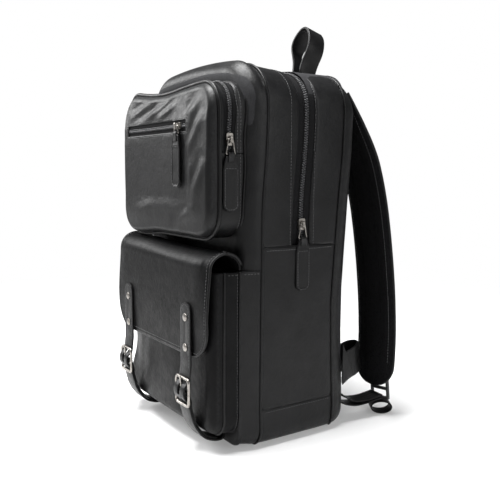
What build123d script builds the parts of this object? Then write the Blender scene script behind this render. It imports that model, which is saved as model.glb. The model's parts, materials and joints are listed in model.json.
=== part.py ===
"""Leather backpack: a boxy main compartment with a zip over the top, a domed zip pocket above
and a satchel pocket with a buckled flap below, on two padded shoulder straps.

Frame: X runs to the right of someone looking at the front, Y from front to back, Z up.
The origin is on the floor, midway between the sides, on the line of the front seam.
All sizes are in millimetres.
"""

from build123d import *

import os
from math import atan2, cos, hypot, radians, sin, sqrt, tan

os.makedirs("parts", exist_ok=True)

# ---------------------------------------------------------------- driving dimensions
body_width = 256.0  # across the main compartment
body_height = 467.0  # at the middle of the crowned top
top_crown = 11.0  # the middle of the top stands this far above its ends
back_depth = 164.0  # front seam to the middle of the bulging back
back_bulge = 36.0  # the back falls away by this much a little past each side
bulge_overhang = 8.0
front_depth = 25.0  # front face ahead of the front seam
top_corner_r = 50.0
base_corner_r = 24.0
front_rim_r = 20.0
back_rim_r = 16.0
leather = 2.4  # shell leather
thin_leather = 1.8  # pocket and trim leather
back_seam_inset = 18.5  # the gusset meets the back panel this far ahead of the back
piping_r = 1.3
mid_seam_z = 245.0  # the zip gusset stands on the side panels here
base_seam_z = 48.0  # top of the base panel

zip_centre_y = 58.0  # main zip, measured from the front seam
zip_stop = 3.0  # metal stops crimped on the ends of the teeth
zip_opening = 26.0  # bare tape between the two leather strips
tape_lap = 6.0  # tape sewn under the leather on each side
tape = 0.8
chain_width = 6.0  # closed teeth
chain_height = 2.0
lining_gap = 0.5
lining_cloth = 0.8
sleeve_pad = 6.0  # padded laptop divider
sleeve_height = 290.0
sleeve_y = 98.0  # back face of the divider

slip_height = 219.0  # open top edge of the slip pocket and of the satchel pocket
slip_foot_z = 26.0

pocket_half = 119.0  # upper pocket, half its width
pocket_floor_z = 256.0
pocket_top_z = 434.0
pocket_corner_r = 32.0
pocket_front_y = -66.0
pocket_rim_r = 12.0
pocket_zip_y = -40.0
pocket_zip_opening = 15.0
pocket_zip_end_z = 355.0  # the pocket zip ends here on both sides
pocket_seam_y = -52.0  # front leather meets the zip strip and gusset
slot_left_x = -100.0
slot_right_x = 64.0
slot_z = 388.0
slot_height = 14.0

satchel_half = 122.0  # lower pocket, half its width
satchel_floor_z = 21.0
satchel_front_y = -64.0
satchel_corner_r = 24.0
satchel_rim_r = 16.0
satchel_seam_y = -48.0

flap_half = 125.0
flap_leather = 2.4
flap_front_y = -76.0  # outer face of the hanging part
flap_top_z = 243.0
flap_hinge_z = 226.0
flap_hem_z = 118.0
flap_corner_r = 36.0
flap_bend_r = 15.0
flap_sewn_top_z = 252.0
fold_gap = 0.3  # between pieces on either side of a moving joint

strap_x = 82.0  # buckle straps, each side of the middle
strap_width = 24.0
strap_leather = 2.2
strap_top_z = 181.0
rivet_z = (127.0, 163.5)
rivet_head_r = 4.8
rivet_head_h = 1.6
rivet_shank_r = 1.5
rivet_hole_gap = 0.1
buckle_y = -82.0
buckle_z = 75.0
buckle_width = 34.0  # outside
buckle_height = 36.0
buckle_wire_r = 1.8
buckle_bar_r = 1.5
anchor_leather = 1.6
prong_r = 1.1
prong_width = 4.0
prong_slot = 5.6
strap_end_y = -31.0
strap_end_z = 8.5  # the strap runs under the pocket at this height
strap_tip_z = 19.5
snap_r = 6.0
snap_z = 13.5
snap_thick = 2.2

handle_lean = 16.0  # degrees, towards the back
handle_inset = 10.0  # ahead of the back
handle_band = 28.0
handle_leather = 3.0
handle_foot_half = 11.0
handle_belly_half = 17.0
handle_rise = 62.0  # above its hinge line

back_pad_thick = 12.0
pad_inner_x = 40.0  # shoulder strap, edge nearer the middle
pad_width = 68.0
pad_thick = 12.0
pad_anchor_z = 424.0
pad_splay = 6.0  # degrees, outwards and down
yoke_height = 36.0
webbing_width = 25.0
webbing_thick = 1.6
tab_leather = 3.0
tab_reach = 18.0  # the corner tab points this far back from the side
tab_top_z = 121.0
tab_tip_z = 64.0
tab_foot_z = 46.0
loop_band = 26.0
loop_leather = 2.2
adjuster_bar_r = 2.0
adjuster_wall = 4.0
adjuster_height = 30.0
adjuster_y = 212.0  # the adjuster hangs behind the pad's foot
adjuster_top_z = 46.0
tail_half = 15.0  # the spare webbing hangs under the adjuster in a loop twice this long
tail_foot_z = 1.0

slider_clear = 0.3  # between a slider and its teeth and tape
slider_plate = 1.2
slider_flange = 1.5
slider_length = 14.0
bridge_half = 3.9
bridge_width = 3.0
bridge_height = 4.2
bridge_wall = 1.1
ring_wire_r = 0.8
ring_lift = 1.6  # wire centre above the slider's plate
ring_top_half = 3.0
ring_foot_half = 6.0
ring_bend_r = 1.6
ring_drop = 17.0
slot_ring_drop = 9.0
puller_width = 21.0
puller_length = 62.0
puller_leather = 3.0
puller_eye_width = 6.4
puller_eye_wall = 1.2
main_slider_z = 271.0
pocket_slider_z = 370.0
slot_slider_x = 46.0

half = body_width / 2
PARTS = []


def save(builder, name):
    """Writes one finished piece as its own file."""
    builder.part.label = name
    export_step(builder.part, f"parts/{name}.step")
    PARTS.append(name)


def save_pair(make, places, name):
    """Writes two like pieces of one body as one file."""
    shapes = [make(place).part for place in places]
    with BuildPart() as pair:
        add(shapes)
    save(pair, name)


def cuboid(x, y, z):
    """A private box from three (low, high) pairs, for cutting and keeping."""
    sizes = [high - low for low, high in (x, y, z)]
    centre = [(high + low) / 2 for low, high in (x, y, z)]
    return Location(tuple(centre)) * Solid.make_box(
        *sizes, Plane((-sizes[0] / 2, -sizes[1] / 2, -sizes[2] / 2))
    )


FAR = 1000.0
ALL_X = (-FAR, FAR)
ALL_Z = (-FAR, FAR)


def rounded_block(half_x, z, y, corner_top, corner_base, rim, inset=0.0):
    """A block with rounded corners seen from the front and a rounded front rim."""
    low_z, high_z = z[0] + inset, z[1] - inset
    front, back = y[0] + inset, y[1] - inset
    with BuildPart(mode=Mode.PRIVATE) as block:
        with BuildSketch(Plane.XZ.offset(-back)) as outline:
            with Locations((0, (low_z + high_z) / 2)):
                Rectangle(2 * (half_x - inset), high_z - low_z)
            fillet(outline.vertices().group_by(Axis.Y)[-1], corner_top - inset)
            fillet(outline.vertices().group_by(Axis.Y)[0], corner_base - inset)
        extrude(amount=back - front)
        fillet(block.faces().sort_by(Axis.Y)[0].edges(), rim - inset)
    return block.part


def front_outline(inset=0.0):
    """The body seen from the front, with its crowned top, as a long bar along Y."""
    end_z = body_height - top_crown
    with BuildPart(mode=Mode.PRIVATE) as bar:
        with BuildSketch(Plane.XZ.offset(front_depth - inset)) as outline:
            with BuildLine():
                Polyline((-half, end_z), (-half, 0), (half, 0), (half, end_z))
                ThreePointArc((half, end_z), (0, body_height), (-half, end_z))
            make_face()
            fillet(outline.vertices().group_by(Axis.Y)[-1], top_corner_r)
            fillet(outline.vertices().group_by(Axis.Y)[0], base_corner_r)
            if inset:
                offset(amount=-inset)
        extrude(amount=-(front_depth + back_depth + back_bulge))
    return bar.part


bulge_chord = half + bulge_overhang
bulge_r = (bulge_chord ** 2 + back_bulge ** 2) / (2 * back_bulge)


def back_column(inset=0.0):
    """A wide upright column. Its wall is the bulging back, or stands that far inside it."""
    with BuildPart(mode=Mode.PRIVATE) as column:
        with BuildSketch(Plane.XY.offset(-body_height)):
            with Locations((0, back_depth - bulge_r)):
                Circle(bulge_r - inset)
        extrude(amount=3 * body_height)
    return column.part


def back_y_at(x):
    """How far back the bulging back reaches at x."""
    return back_depth - bulge_r + sqrt(bulge_r ** 2 - x ** 2)


def body_block(inset=0.0):
    """The main compartment's outside, or a smaller copy inset from it."""
    bar = front_outline(inset)
    column = back_column(inset)
    with BuildPart(mode=Mode.PRIVATE) as block:
        add(bar)
        add(column, mode=Mode.INTERSECT)
        fillet(block.faces().sort_by(Axis.Y)[0].edges(), front_rim_r - inset)
        fillet(block.faces().sort_by(Axis.Y)[-1].edges(), back_rim_r - inset)
    return block.part


def pocket_block(inset=0.0):
    """The upper pocket's outside. It runs back into the body, which is cut away later."""
    return rounded_block(pocket_half, (pocket_floor_z, pocket_top_z), (pocket_front_y, 0),
                         pocket_corner_r, pocket_corner_r, pocket_rim_r, inset)


def satchel_block(inset=0.0):
    """The lower pocket's outside, taller than the pocket so that its top can be cut open."""
    return rounded_block(satchel_half, (satchel_floor_z, slip_height + 40), (satchel_front_y, 0),
                         satchel_corner_r, satchel_corner_r, satchel_rim_r, inset)


def corner_turns(points):
    """How far the line through points turns at each inner point, in radians, left positive."""
    turns = []
    for before, here, after in zip(points, points[1:], points[2:]):
        first = atan2(here[1] - before[1], here[0] - before[0])
        second = atan2(after[1] - here[1], after[0] - here[0])
        turns.append((second - first + radians(540)) % radians(360) - radians(180))
    return turns


def offset_line(points, distance):
    """The line through points moved to its left by distance, with mitred corners."""
    turns = [0.0] + corner_turns(points) + [0.0]
    line = []
    for i, (px, py) in enumerate(points):
        start = min(i, len(points) - 2)
        run_x = points[start + 1][0] - points[start][0]
        run_y = points[start + 1][1] - points[start][1]
        heading = atan2(run_y, run_x) - turns[i] / 2
        reach = distance / cos(turns[i] / 2)
        line.append((px - reach * sin(heading), py + reach * cos(heading)))
    return line


def ribbon(points, radii, thick):
    """The long thin face of a strap seen edge-on: a line through points, with bends of radii."""
    turns = corner_turns(points)

    def edge(distance):
        line = offset_line(points, distance)
        bends = [radius - distance * (1 if turn > 0 else -1)
                 for radius, turn in zip(radii, turns)]
        FilletPolyline(*line, radius=bends)
        return line

    with BuildSketch(mode=Mode.PRIVATE) as face:
        with BuildLine():
            left = edge(thick / 2)
            right = edge(-thick / 2)
            Line(left[0], right[0])
            Line(left[-1], right[-1])
        make_face()
    return face.sketch


def easy_bends(points, share=0.45):
    """The largest radius at each corner that its two runs leave room for."""
    radii = []
    for before, here, after in zip(points, points[1:], points[2:]):
        run_in = hypot(here[0] - before[0], here[1] - before[1])
        run_out = hypot(after[0] - here[0], after[1] - here[1])
        turn = abs(atan2(after[1] - here[1], after[0] - here[0])
                   - atan2(here[1] - before[1], here[0] - before[0]))
        turn = min(turn, radians(360) - turn)
        radii.append(share * min(run_in, run_out) / tan(turn / 2))
    return radii


SIDE_VIEW = Plane((0, 0, 0), x_dir=(0, 1, 0), z_dir=(1, 0, 0))


def side_strap(points, radii, thick, x_low, x_high):
    """A band that is drawn in the side view, as (y, z) points, and runs from x_low to x_high."""
    face = ribbon(points, radii, thick)
    with BuildPart(mode=Mode.PRIVATE) as band:
        with BuildSketch(SIDE_VIEW.offset(x_low)):
            add(face)
        extrude(amount=x_high - x_low)
    return band.part


def keep(shape, x=ALL_X, y=ALL_X, z=ALL_Z):
    """What is left of shape inside the given ranges."""
    return shape & cuboid(x, y, z)


# ---------------------------------------------------------------- main compartment shell
body = body_block()
shell = body - body_block(leather)
ahead_of_back = back_column(back_seam_inset)
gusset_shell = keep(shell, y=(0, FAR)) & ahead_of_back
zip_low_y = zip_centre_y - zip_opening / 2
zip_high_y = zip_centre_y + zip_opening / 2

with BuildPart() as front_panel:
    add(keep(shell, y=(-FAR, 0)))
save(front_panel, "front_panel")

with BuildPart() as zip_gusset_front:
    add(keep(gusset_shell, y=(0, zip_low_y), z=(mid_seam_z, FAR)))
save(zip_gusset_front, "zip_gusset_front")

with BuildPart() as zip_gusset_back:
    add(keep(gusset_shell, y=(zip_high_y, FAR), z=(mid_seam_z, FAR)))
save(zip_gusset_back, "zip_gusset_back")

with BuildPart() as side_panels:
    add(keep(gusset_shell, z=(base_seam_z, mid_seam_z)))
save(side_panels, "side_panels")

with BuildPart() as base_panel:
    add(keep(gusset_shell, z=(-FAR, base_seam_z)))
save(base_panel, "base_panel")

with BuildPart() as back_panel:
    add(shell)
    add(ahead_of_back, mode=Mode.SUBTRACT)
save(back_panel, "back_panel")

# Piping stands on the outline at both seams, but not under the bag, where it rests.
piping_rise = front_outline(-piping_r)
above_floor = cuboid(ALL_X, ALL_X, (0, FAR))
with BuildPart() as front_piping:
    add(keep(piping_rise, y=(-piping_r, piping_r), z=(0, FAR)))
    add(body, mode=Mode.SUBTRACT)
save(front_piping, "front_piping")

back_band = back_column(back_seam_inset - piping_r) - back_column(back_seam_inset + piping_r)
with BuildPart() as back_piping:
    add(piping_rise & back_band & above_floor)
    add(body, mode=Mode.SUBTRACT)
save(back_piping, "back_piping")

# ---------------------------------------------------------------- main zip
tape_shell = body_block(leather) - body_block(leather + tape)
with BuildPart() as main_zip_tape:
    add(keep(tape_shell, y=(zip_low_y - tape_lap, zip_centre_y), z=(mid_seam_z - tape_lap, FAR)))
    add(keep(tape_shell, y=(zip_centre_y, zip_high_y + tape_lap), z=(mid_seam_z - tape_lap, FAR)))
save(main_zip_tape, "main_zip_tape")

chain_outer = body_block(leather - chain_height)
chain_shell = chain_outer - body_block(leather)
chain_y = (zip_centre_y - chain_width / 2, zip_centre_y + chain_width / 2)
teeth_foot_z = mid_seam_z + 2 * zip_stop
with BuildPart() as main_zip_teeth:
    add(keep(chain_shell, y=chain_y, z=(teeth_foot_z, FAR)))
save(main_zip_teeth, "main_zip_teeth")

stop_y = (chain_y[0] - 0.5, chain_y[1] + 0.5)
with BuildPart() as main_zip_stops:
    add(keep(chain_shell, y=stop_y, z=(teeth_foot_z - zip_stop, teeth_foot_z)))
save(main_zip_stops, "main_zip_stops")

# ---------------------------------------------------------------- inside
lining_inset = leather + tape + lining_gap
lining_shell = body_block(lining_inset) - body_block(lining_inset + lining_cloth)
with BuildPart() as lining:
    add(lining_shell)
    # The mouth of the lining follows the zip.
    mouth = cuboid(ALL_X, (zip_low_y, zip_high_y), (mid_seam_z, FAR))
    add(mouth, mode=Mode.SUBTRACT)
save(lining, "lining")

inner_half = half - lining_inset - lining_cloth
inner_floor = lining_inset + lining_cloth
with BuildPart() as laptop_sleeve:
    with BuildSketch(Plane.XZ.offset(-sleeve_y)) as divider:
        with Locations((0, inner_floor + fold_gap + sleeve_height / 2)):
            Rectangle(2 * (inner_half - fold_gap), sleeve_height)
        fillet(divider.vertices().group_by(Axis.Y)[0], base_corner_r - lining_inset)
        fillet(divider.vertices().group_by(Axis.Y)[-1], 12)
    extrude(amount=sleeve_pad)
    fillet(laptop_sleeve.faces().sort_by(Axis.Z)[-1].edges().filter_by(Axis.X), sleeve_pad * 0.4)
save(laptop_sleeve, "laptop_sleeve")

# ---------------------------------------------------------------- slip pocket over the lower front
slip_shell = body_block(-thin_leather) - body
with BuildPart() as slip_pocket:
    add(keep(slip_shell, y=(-FAR, -1.5), z=(slip_foot_z, slip_height)))
save(slip_pocket, "slip_pocket")
slip_face_y = -front_depth - thin_leather

# ---------------------------------------------------------------- upper pocket
pocket = pocket_block()
pocket_inner = pocket_block(thin_leather)
pocket_wall = pocket - pocket_inner - body
pocket_zip_low = pocket_zip_y - pocket_zip_opening / 2
pocket_zip_high = pocket_zip_y + pocket_zip_opening / 2
above_zip_end = (pocket_zip_end_z, FAR)

with BuildPart() as upper_pocket_strip:
    add(keep(pocket_wall, y=(pocket_zip_high, 0), z=above_zip_end))
save(upper_pocket_strip, "upper_pocket_strip")

with BuildPart() as upper_pocket_rim:
    add(keep(pocket_wall, y=(pocket_seam_y, pocket_zip_low), z=above_zip_end))
save(upper_pocket_rim, "upper_pocket_rim")

with BuildPart() as upper_pocket_gusset:
    add(keep(pocket_wall, y=(pocket_seam_y, 0), z=(-FAR, pocket_zip_end_z)))
save(upper_pocket_gusset, "upper_pocket_gusset")

slot_x = (slot_left_x, slot_right_x)
slot_low, slot_high = slot_z - slot_height / 2, slot_z + slot_height / 2
with BuildPart() as upper_pocket_front:
    add(keep(pocket_wall, y=(-FAR, pocket_seam_y)))
    add(cuboid(slot_x, (-FAR, pocket_seam_y), (slot_low, slot_high)), mode=Mode.SUBTRACT)
save(upper_pocket_front, "upper_pocket_front")

pocket_tape_shell = pocket_inner - pocket_block(thin_leather + tape) - body
with BuildPart() as upper_pocket_zip_tape:
    tape_z = (pocket_zip_end_z - tape_lap, FAR)
    add(keep(pocket_tape_shell, y=(pocket_zip_low - 3, pocket_zip_y), z=tape_z))
    add(keep(pocket_tape_shell, y=(pocket_zip_y, pocket_zip_high + 3), z=tape_z))
save(upper_pocket_zip_tape, "upper_pocket_zip_tape")

pocket_chain_half = 2.5
pocket_chain_h = 1.6
pocket_chain_shell = pocket_block(thin_leather - pocket_chain_h) - pocket_inner
with BuildPart() as upper_pocket_zip_teeth:
    chain = (pocket_zip_y - pocket_chain_half, pocket_zip_y + pocket_chain_half)
    add(keep(pocket_chain_shell, y=chain, z=above_zip_end))
save(upper_pocket_zip_teeth, "upper_pocket_zip_teeth")

# The slot zip's tape lies behind the front leather, with its teeth up in the slot.
slot_tape_y = pocket_front_y + thin_leather
with BuildPart() as slot_zip_tape:
    add(cuboid((slot_left_x - 4, slot_right_x + 4), (slot_tape_y, slot_tape_y + tape),
               (slot_low - 4, slot_z)))
    add(cuboid((slot_left_x - 4, slot_right_x + 4), (slot_tape_y, slot_tape_y + tape),
               (slot_z, slot_high + 4)))
save(slot_zip_tape, "slot_zip_tape")

slot_chain_half = 2.2
with BuildPart() as slot_zip_teeth:
    add(cuboid(slot_x, (slot_tape_y - pocket_chain_h, slot_tape_y),
               (slot_z - slot_chain_half, slot_z + slot_chain_half)))
save(slot_zip_teeth, "slot_zip_teeth")

# ---------------------------------------------------------------- satchel pocket
satchel_back_y = slip_face_y
satchel_wall = satchel_block() - satchel_block(thin_leather)
slip_outside = body_block(-thin_leather)
with BuildPart() as satchel_gusset:
    add(keep(satchel_wall, y=(satchel_seam_y, satchel_back_y), z=(-FAR, slip_height)))
    add(slip_outside, mode=Mode.SUBTRACT)
save(satchel_gusset, "satchel_gusset")

with BuildPart() as satchel_front:
    add(keep(satchel_wall, y=(-FAR, satchel_seam_y), z=(-FAR, slip_height)))
save(satchel_front, "satchel_front")

# ---------------------------------------------------------------- flap
flap_mid_y = flap_front_y + flap_leather / 2
flap_mid_z = flap_top_z - flap_leather / 2
sewn_y = -front_depth - flap_leather / 2
sewn_path = [(sewn_y, flap_sewn_top_z), (sewn_y, flap_mid_z), (flap_mid_y, flap_mid_z),
             (flap_mid_y, flap_hinge_z)]
sewn_edge = side_strap(sewn_path, [4, flap_bend_r], flap_leather, -flap_half, flap_half)
with BuildPart() as flap_anchor:
    add(sewn_edge)
    add(body, mode=Mode.SUBTRACT)
save(flap_anchor, "flap_anchor")

with BuildPart() as flap:
    with BuildSketch(Plane.XZ.offset(-(flap_front_y + flap_leather))) as cut:
        with Locations((0, (flap_hem_z + flap_hinge_z - fold_gap) / 2)):
            Rectangle(2 * flap_half, flap_hinge_z - fold_gap - flap_hem_z)
        fillet(cut.vertices().group_by(Axis.Y)[0], flap_corner_r)
    extrude(amount=flap_leather)
    for x in (-strap_x, strap_x):
        for z in rivet_z:
            hole = Plane((x, flap_front_y - 1, z), z_dir=(0, 1, 0))
            with BuildSketch(hole):
                Circle(rivet_shank_r + rivet_hole_gap)
            extrude(amount=flap_leather + 2, mode=Mode.SUBTRACT)
save(flap, "flap")

# ---------------------------------------------------------------- buckles and their straps
bar_pitch = buckle_height / 2 - buckle_wire_r  # centre bar to top or bottom bar
weave_clear = 0.3
inner_gap = 0.9  # between the outer strap and the inner one
strap_face_y = flap_front_y - strap_leather / 2
behind_y = buckle_y + buckle_wire_r + weave_clear + strap_leather / 2
over_y = buckle_y - buckle_bar_r - anchor_leather - 2 * weave_clear - strap_leather / 2
bar_reach = buckle_wire_r + weave_clear + 1.0
weave_path = [
    (strap_face_y, strap_top_z),
    (strap_face_y, buckle_z + bar_pitch + 14),
    (behind_y, buckle_z + bar_pitch + bar_reach),
    (behind_y, buckle_z + bar_pitch - bar_reach),
    (over_y, buckle_z + 5.5),
    (over_y, buckle_z - 5.5),
    (behind_y, buckle_z - bar_pitch + bar_reach),
    (behind_y, buckle_z - bar_pitch - bar_reach),
    (-72.5, 32.0),
    (-58.0, 14.0),
    (strap_end_y - 12, strap_end_z),
    (strap_end_y, strap_end_z),
    (strap_end_y, strap_tip_z),
]
weave_bends = easy_bends(weave_path)
# The inner strap lies inside the outer one, from the buckle's centre bar to under the pocket.
inner_offset = strap_leather / 2 + inner_gap + anchor_leather / 2
inner_run = offset_line(weave_path[6:12], inner_offset)
bar_eye_r = buckle_bar_r + 0.2
anchor_path = [(buckle_y + bar_eye_r + anchor_leather / 2, buckle_z)] + inner_run[:-1]
anchor_path.append((strap_end_y - 9, inner_run[-1][1]))


def strap_outline(x):
    """A long tab seen from the front, to round the strap's riveted end."""
    with BuildPart(mode=Mode.PRIVATE) as tab:
        with BuildSketch(Plane.XZ.offset(FAR / 4)) as shape:
            with Locations((x, 0)):
                Rectangle(strap_width, 2 * strap_top_z)
            fillet(shape.vertices().group_by(Axis.Y)[-1], strap_width / 2 - 0.5)
        extrude(amount=-FAR / 2)
    return tab.part


def buckle_strap(x):
    """The strap riveted to the flap. It weaves through the buckle and runs under the pocket."""
    woven = side_strap(weave_path, weave_bends, strap_leather,
                       x - strap_width / 2, x + strap_width / 2)
    outline = strap_outline(x)
    with BuildPart() as strap:
        add(woven)
        add(outline, mode=Mode.INTERSECT)
        slot_span = (buckle_z - 3.5, buckle_z + bar_pitch - 0.5)
        add(cuboid((x - prong_slot / 2, x + prong_slot / 2), (-FAR, 0), slot_span),
            mode=Mode.SUBTRACT)
        for z in rivet_z:
            with BuildSketch(Plane((x, flap_front_y, z), z_dir=(0, -1, 0))):
                Circle(rivet_shank_r + rivet_hole_gap)
            extrude(amount=2 * strap_leather, mode=Mode.SUBTRACT)
    return strap


def anchor_strap(x):
    """The inner strap. It is folded round the buckle's centre bar and sewn to the tip below."""
    width = strap_width - 2.0
    tail = side_strap(anchor_path, easy_bends(anchor_path), anchor_leather,
                      x - width / 2, x + width / 2)
    with BuildPart() as strap:
        add(tail)
        with BuildSketch(SIDE_VIEW.offset(x - width / 2)):
            with Locations((buckle_y, buckle_z)):
                Circle(bar_eye_r + anchor_leather)
        extrude(amount=width)
        with BuildSketch(SIDE_VIEW.offset(x - width / 2 - 1)):
            with Locations((buckle_y, buckle_z)):
                Circle(bar_eye_r)
        extrude(amount=width + 2, mode=Mode.SUBTRACT)
        add(cuboid((x - prong_slot / 2, x + prong_slot / 2), (-FAR, buckle_y + 9),
                   (buckle_z - 8, FAR)), mode=Mode.SUBTRACT)
    return strap


def buckle_frame(x):
    """A rectangular wire frame with a centre bar."""
    reach = buckle_width / 2 - buckle_wire_r
    with BuildPart() as frame:
        with BuildLine(Plane.XZ.offset(-buckle_y)) as loop:
            FilletPolyline((x - reach, buckle_z + bar_pitch), (x + reach, buckle_z + bar_pitch),
                           (x + reach, buckle_z - bar_pitch), (x - reach, buckle_z - bar_pitch),
                           radius=4.5, close=True)
        with BuildSketch(Plane(loop.line @ 0, z_dir=loop.line % 0)):
            Circle(buckle_wire_r)
        sweep()
        with BuildSketch(SIDE_VIEW.offset(x - reach)):
            with Locations((buckle_y, buckle_z)):
                Circle(buckle_bar_r)
        extrude(amount=2 * reach)
    return frame


def buckle_prong(x):
    """A tongue that turns on the centre bar and rests on the top bar."""
    eye_r = buckle_bar_r + 0.2
    rest_y = buckle_y - buckle_wire_r - prong_r - 0.2
    with BuildPart() as prong:
        with BuildSketch(SIDE_VIEW.offset(x - prong_width / 2)):
            with Locations((buckle_y, buckle_z)):
                Circle(eye_r + 1.3)
        extrude(amount=prong_width)
        start = (x, buckle_y - 1.2, buckle_z + 2.2)
        lean = (0, rest_y - start[1], buckle_z + bar_pitch - start[2])
        length = hypot(lean[1], lean[2]) + 2.5
        with BuildSketch(Plane(start, z_dir=lean)):
            Circle(prong_r)
        extrude(amount=length)
        fillet(prong.faces().sort_by(Axis.Z)[-1].edges(), prong_r * 0.7)
        with BuildSketch(SIDE_VIEW.offset(x - prong_width)):
            with Locations((buckle_y, buckle_z)):
                Circle(eye_r)
        extrude(amount=2 * prong_width, mode=Mode.SUBTRACT)
    return prong


for side, x in (("left", -strap_x), ("right", strap_x)):
    save(buckle_strap(x), f"buckle_strap_{side}")
    save(buckle_prong(x), f"buckle_prong_{side}")
save_pair(anchor_strap, (-strap_x, strap_x), "anchor_straps")
save_pair(buckle_frame, (-strap_x, strap_x), "buckle_frames")

strap_outer_y = strap_face_y - strap_leather / 2
rivet_back_y = flap_front_y + flap_leather
with BuildPart() as rivets:
    for x in (-strap_x, strap_x):
        for z in rivet_z:
            with BuildSketch(Plane((x, strap_outer_y, z), z_dir=(0, -1, 0))):
                Circle(rivet_head_r)
            extrude(amount=rivet_head_h, taper=35)
            with BuildSketch(Plane((x, strap_outer_y, z), z_dir=(0, 1, 0))):
                Circle(rivet_shank_r)
            extrude(amount=rivet_back_y - strap_outer_y)
            with BuildSketch(Plane((x, rivet_back_y, z), z_dir=(0, 1, 0))):
                Circle(rivet_head_r - 1)
            extrude(amount=1.0)
save(rivets, "flap_rivets")

# Magnetic snaps hold each strap's tip against the foot of the front panel.
cap_front_y = strap_end_y + strap_leather / 2
with BuildPart() as snap_caps:
    for x in (-strap_x, strap_x):
        with BuildSketch(Plane((x, cap_front_y, snap_z), z_dir=(0, 1, 0))):
            Circle(snap_r)
        extrude(amount=snap_thick)
save(snap_caps, "snap_caps")

with BuildPart() as snap_studs:
    for x in (-strap_x, strap_x):
        stud_y = cap_front_y + snap_thick + fold_gap
        with BuildSketch(Plane((x, stud_y, snap_z), z_dir=(0, 1, 0))):
            Circle(snap_r)
        extrude(amount=20)
    add(body, mode=Mode.SUBTRACT)
    add(keep(snap_studs.part, y=(-FAR, -front_depth / 2)), mode=Mode.REPLACE)
save(snap_studs, "snap_studs")

# ---------------------------------------------------------------- grab handle
lean = radians(handle_lean)
handle_y = back_depth - handle_inset
handle_foot_r = handle_band / 2
hinge_z = body_height + handle_foot_r
handle_plane = Plane((0, handle_y, hinge_z), x_dir=(1, 0, 0), z_dir=(0, -cos(lean), sin(lean)))
handle_path = [(-handle_foot_half, -handle_foot_r), (-handle_foot_half, 6),
               (-handle_belly_half, 28), (-handle_belly_half + 4, 48), (0, handle_rise),
               (handle_belly_half - 4, 48), (handle_belly_half, 28), (handle_foot_half, 6),
               (handle_foot_half, -handle_foot_r)]
handle_face = ribbon(handle_path, easy_bends(handle_path), handle_leather)
handle_side = Plane(handle_plane.origin, x_dir=(0, cos(lean), -sin(lean)), z_dir=(1, 0, 0))
with BuildPart() as top_handle:
    with BuildSketch(handle_plane):
        add(handle_face)
    extrude(amount=handle_band / 2, both=True)
    # Each foot is round about the line that the handle turns on.
    with BuildSketch(handle_side):
        Circle(handle_foot_r)
        with Locations((0, handle_rise / 2)):
            Rectangle(handle_band, handle_rise)
        with Locations((0, handle_rise)):
            Rectangle(handle_band, 4 * handle_leather)
    extrude(amount=2 * handle_belly_half, both=True, mode=Mode.INTERSECT)
save(top_handle, "top_handle")

skin = body_block(-thin_leather) - body
with BuildPart() as handle_patch:
    patch_y = (handle_y - 30, back_depth - back_seam_inset - 3 * piping_r)
    add(keep(skin, x=(-handle_foot_half - 14, handle_foot_half + 14), y=patch_y,
             z=(body_height / 2, FAR)))
save(handle_patch, "handle_patch")

# ---------------------------------------------------------------- back padding
pad_skin = body_block(-back_pad_thick) - body
back_pad_x = (14.0, 88.0)
back_pad_rows = ((46.0, 158.0), (166.0, 280.0), (288.0, 380.0))
with BuildPart() as back_padding:
    for z_low, z_high in back_pad_rows:
        for side in (-1, 1):
            x_range = sorted((side * back_pad_x[0], side * back_pad_x[1]))
            add(keep(pad_skin, x=x_range, y=(back_depth / 2, FAR), z=(z_low, z_high)))
save(back_padding, "back_padding")

yoke_half = pad_inner_x + pad_width
with BuildPart() as strap_yoke:
    add(keep(skin, x=(-yoke_half, yoke_half), y=(back_depth / 2, FAR),
             z=(pad_anchor_z - yoke_height, pad_anchor_z)))
save(strap_yoke, "strap_yoke")

# ---------------------------------------------------------------- shoulder straps
pad_axis_y = back_y_at(pad_inner_x) + thin_leather + fold_gap + pad_thick / 2
pad_path = [(pad_axis_y, pad_anchor_z), (178.0, 400.0), (192.0, 361.0), (206.0, 303.0),
            (212.0, 237.0), (214.0, 168.0), (211.0, 99.0), (200.0, 40.0)]
pad_bends = easy_bends(pad_path)
pad_mid_x = pad_inner_x + pad_width / 2
splay = radians(pad_splay)


def strap_plane(side, across):
    """The side view on one shoulder strap, splayed about the middle of its top seam."""
    normal = (cos(splay), 0, side * sin(splay))
    top = Plane((side * pad_mid_x, 0, pad_anchor_z), x_dir=(0, 1, 0), z_dir=normal)
    return top.offset(across)


def from_anchor(points):
    """Side-view points with their heights measured from the strap's top seam."""
    return [(y, z - pad_anchor_z) for y, z in points]


def shoulder_pad(side):
    """A padded strap. Its top end is round, so that it turns freely at its sewn seam."""
    face = ribbon(from_anchor(pad_path), pad_bends, pad_thick)
    with BuildPart() as pad:
        with BuildSketch(strap_plane(side, -pad_width / 2)):
            add(face)
            with Locations((pad_axis_y, 0)):
                Circle(pad_thick / 2)
        extrude(amount=pad_width)
        foot = pad.edges().filter_by(lambda edge: edge.length < pad_thick * 1.01)
        fillet(foot.group_by(Axis.Z)[0], pad_width * 0.3)
    return pad


adjuster_half = webbing_width / 2 + adjuster_wall
adjuster_gap = (adjuster_height - 6 * adjuster_bar_r) / 2
adjuster_top = (adjuster_y, adjuster_top_z - pad_anchor_z)


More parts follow.
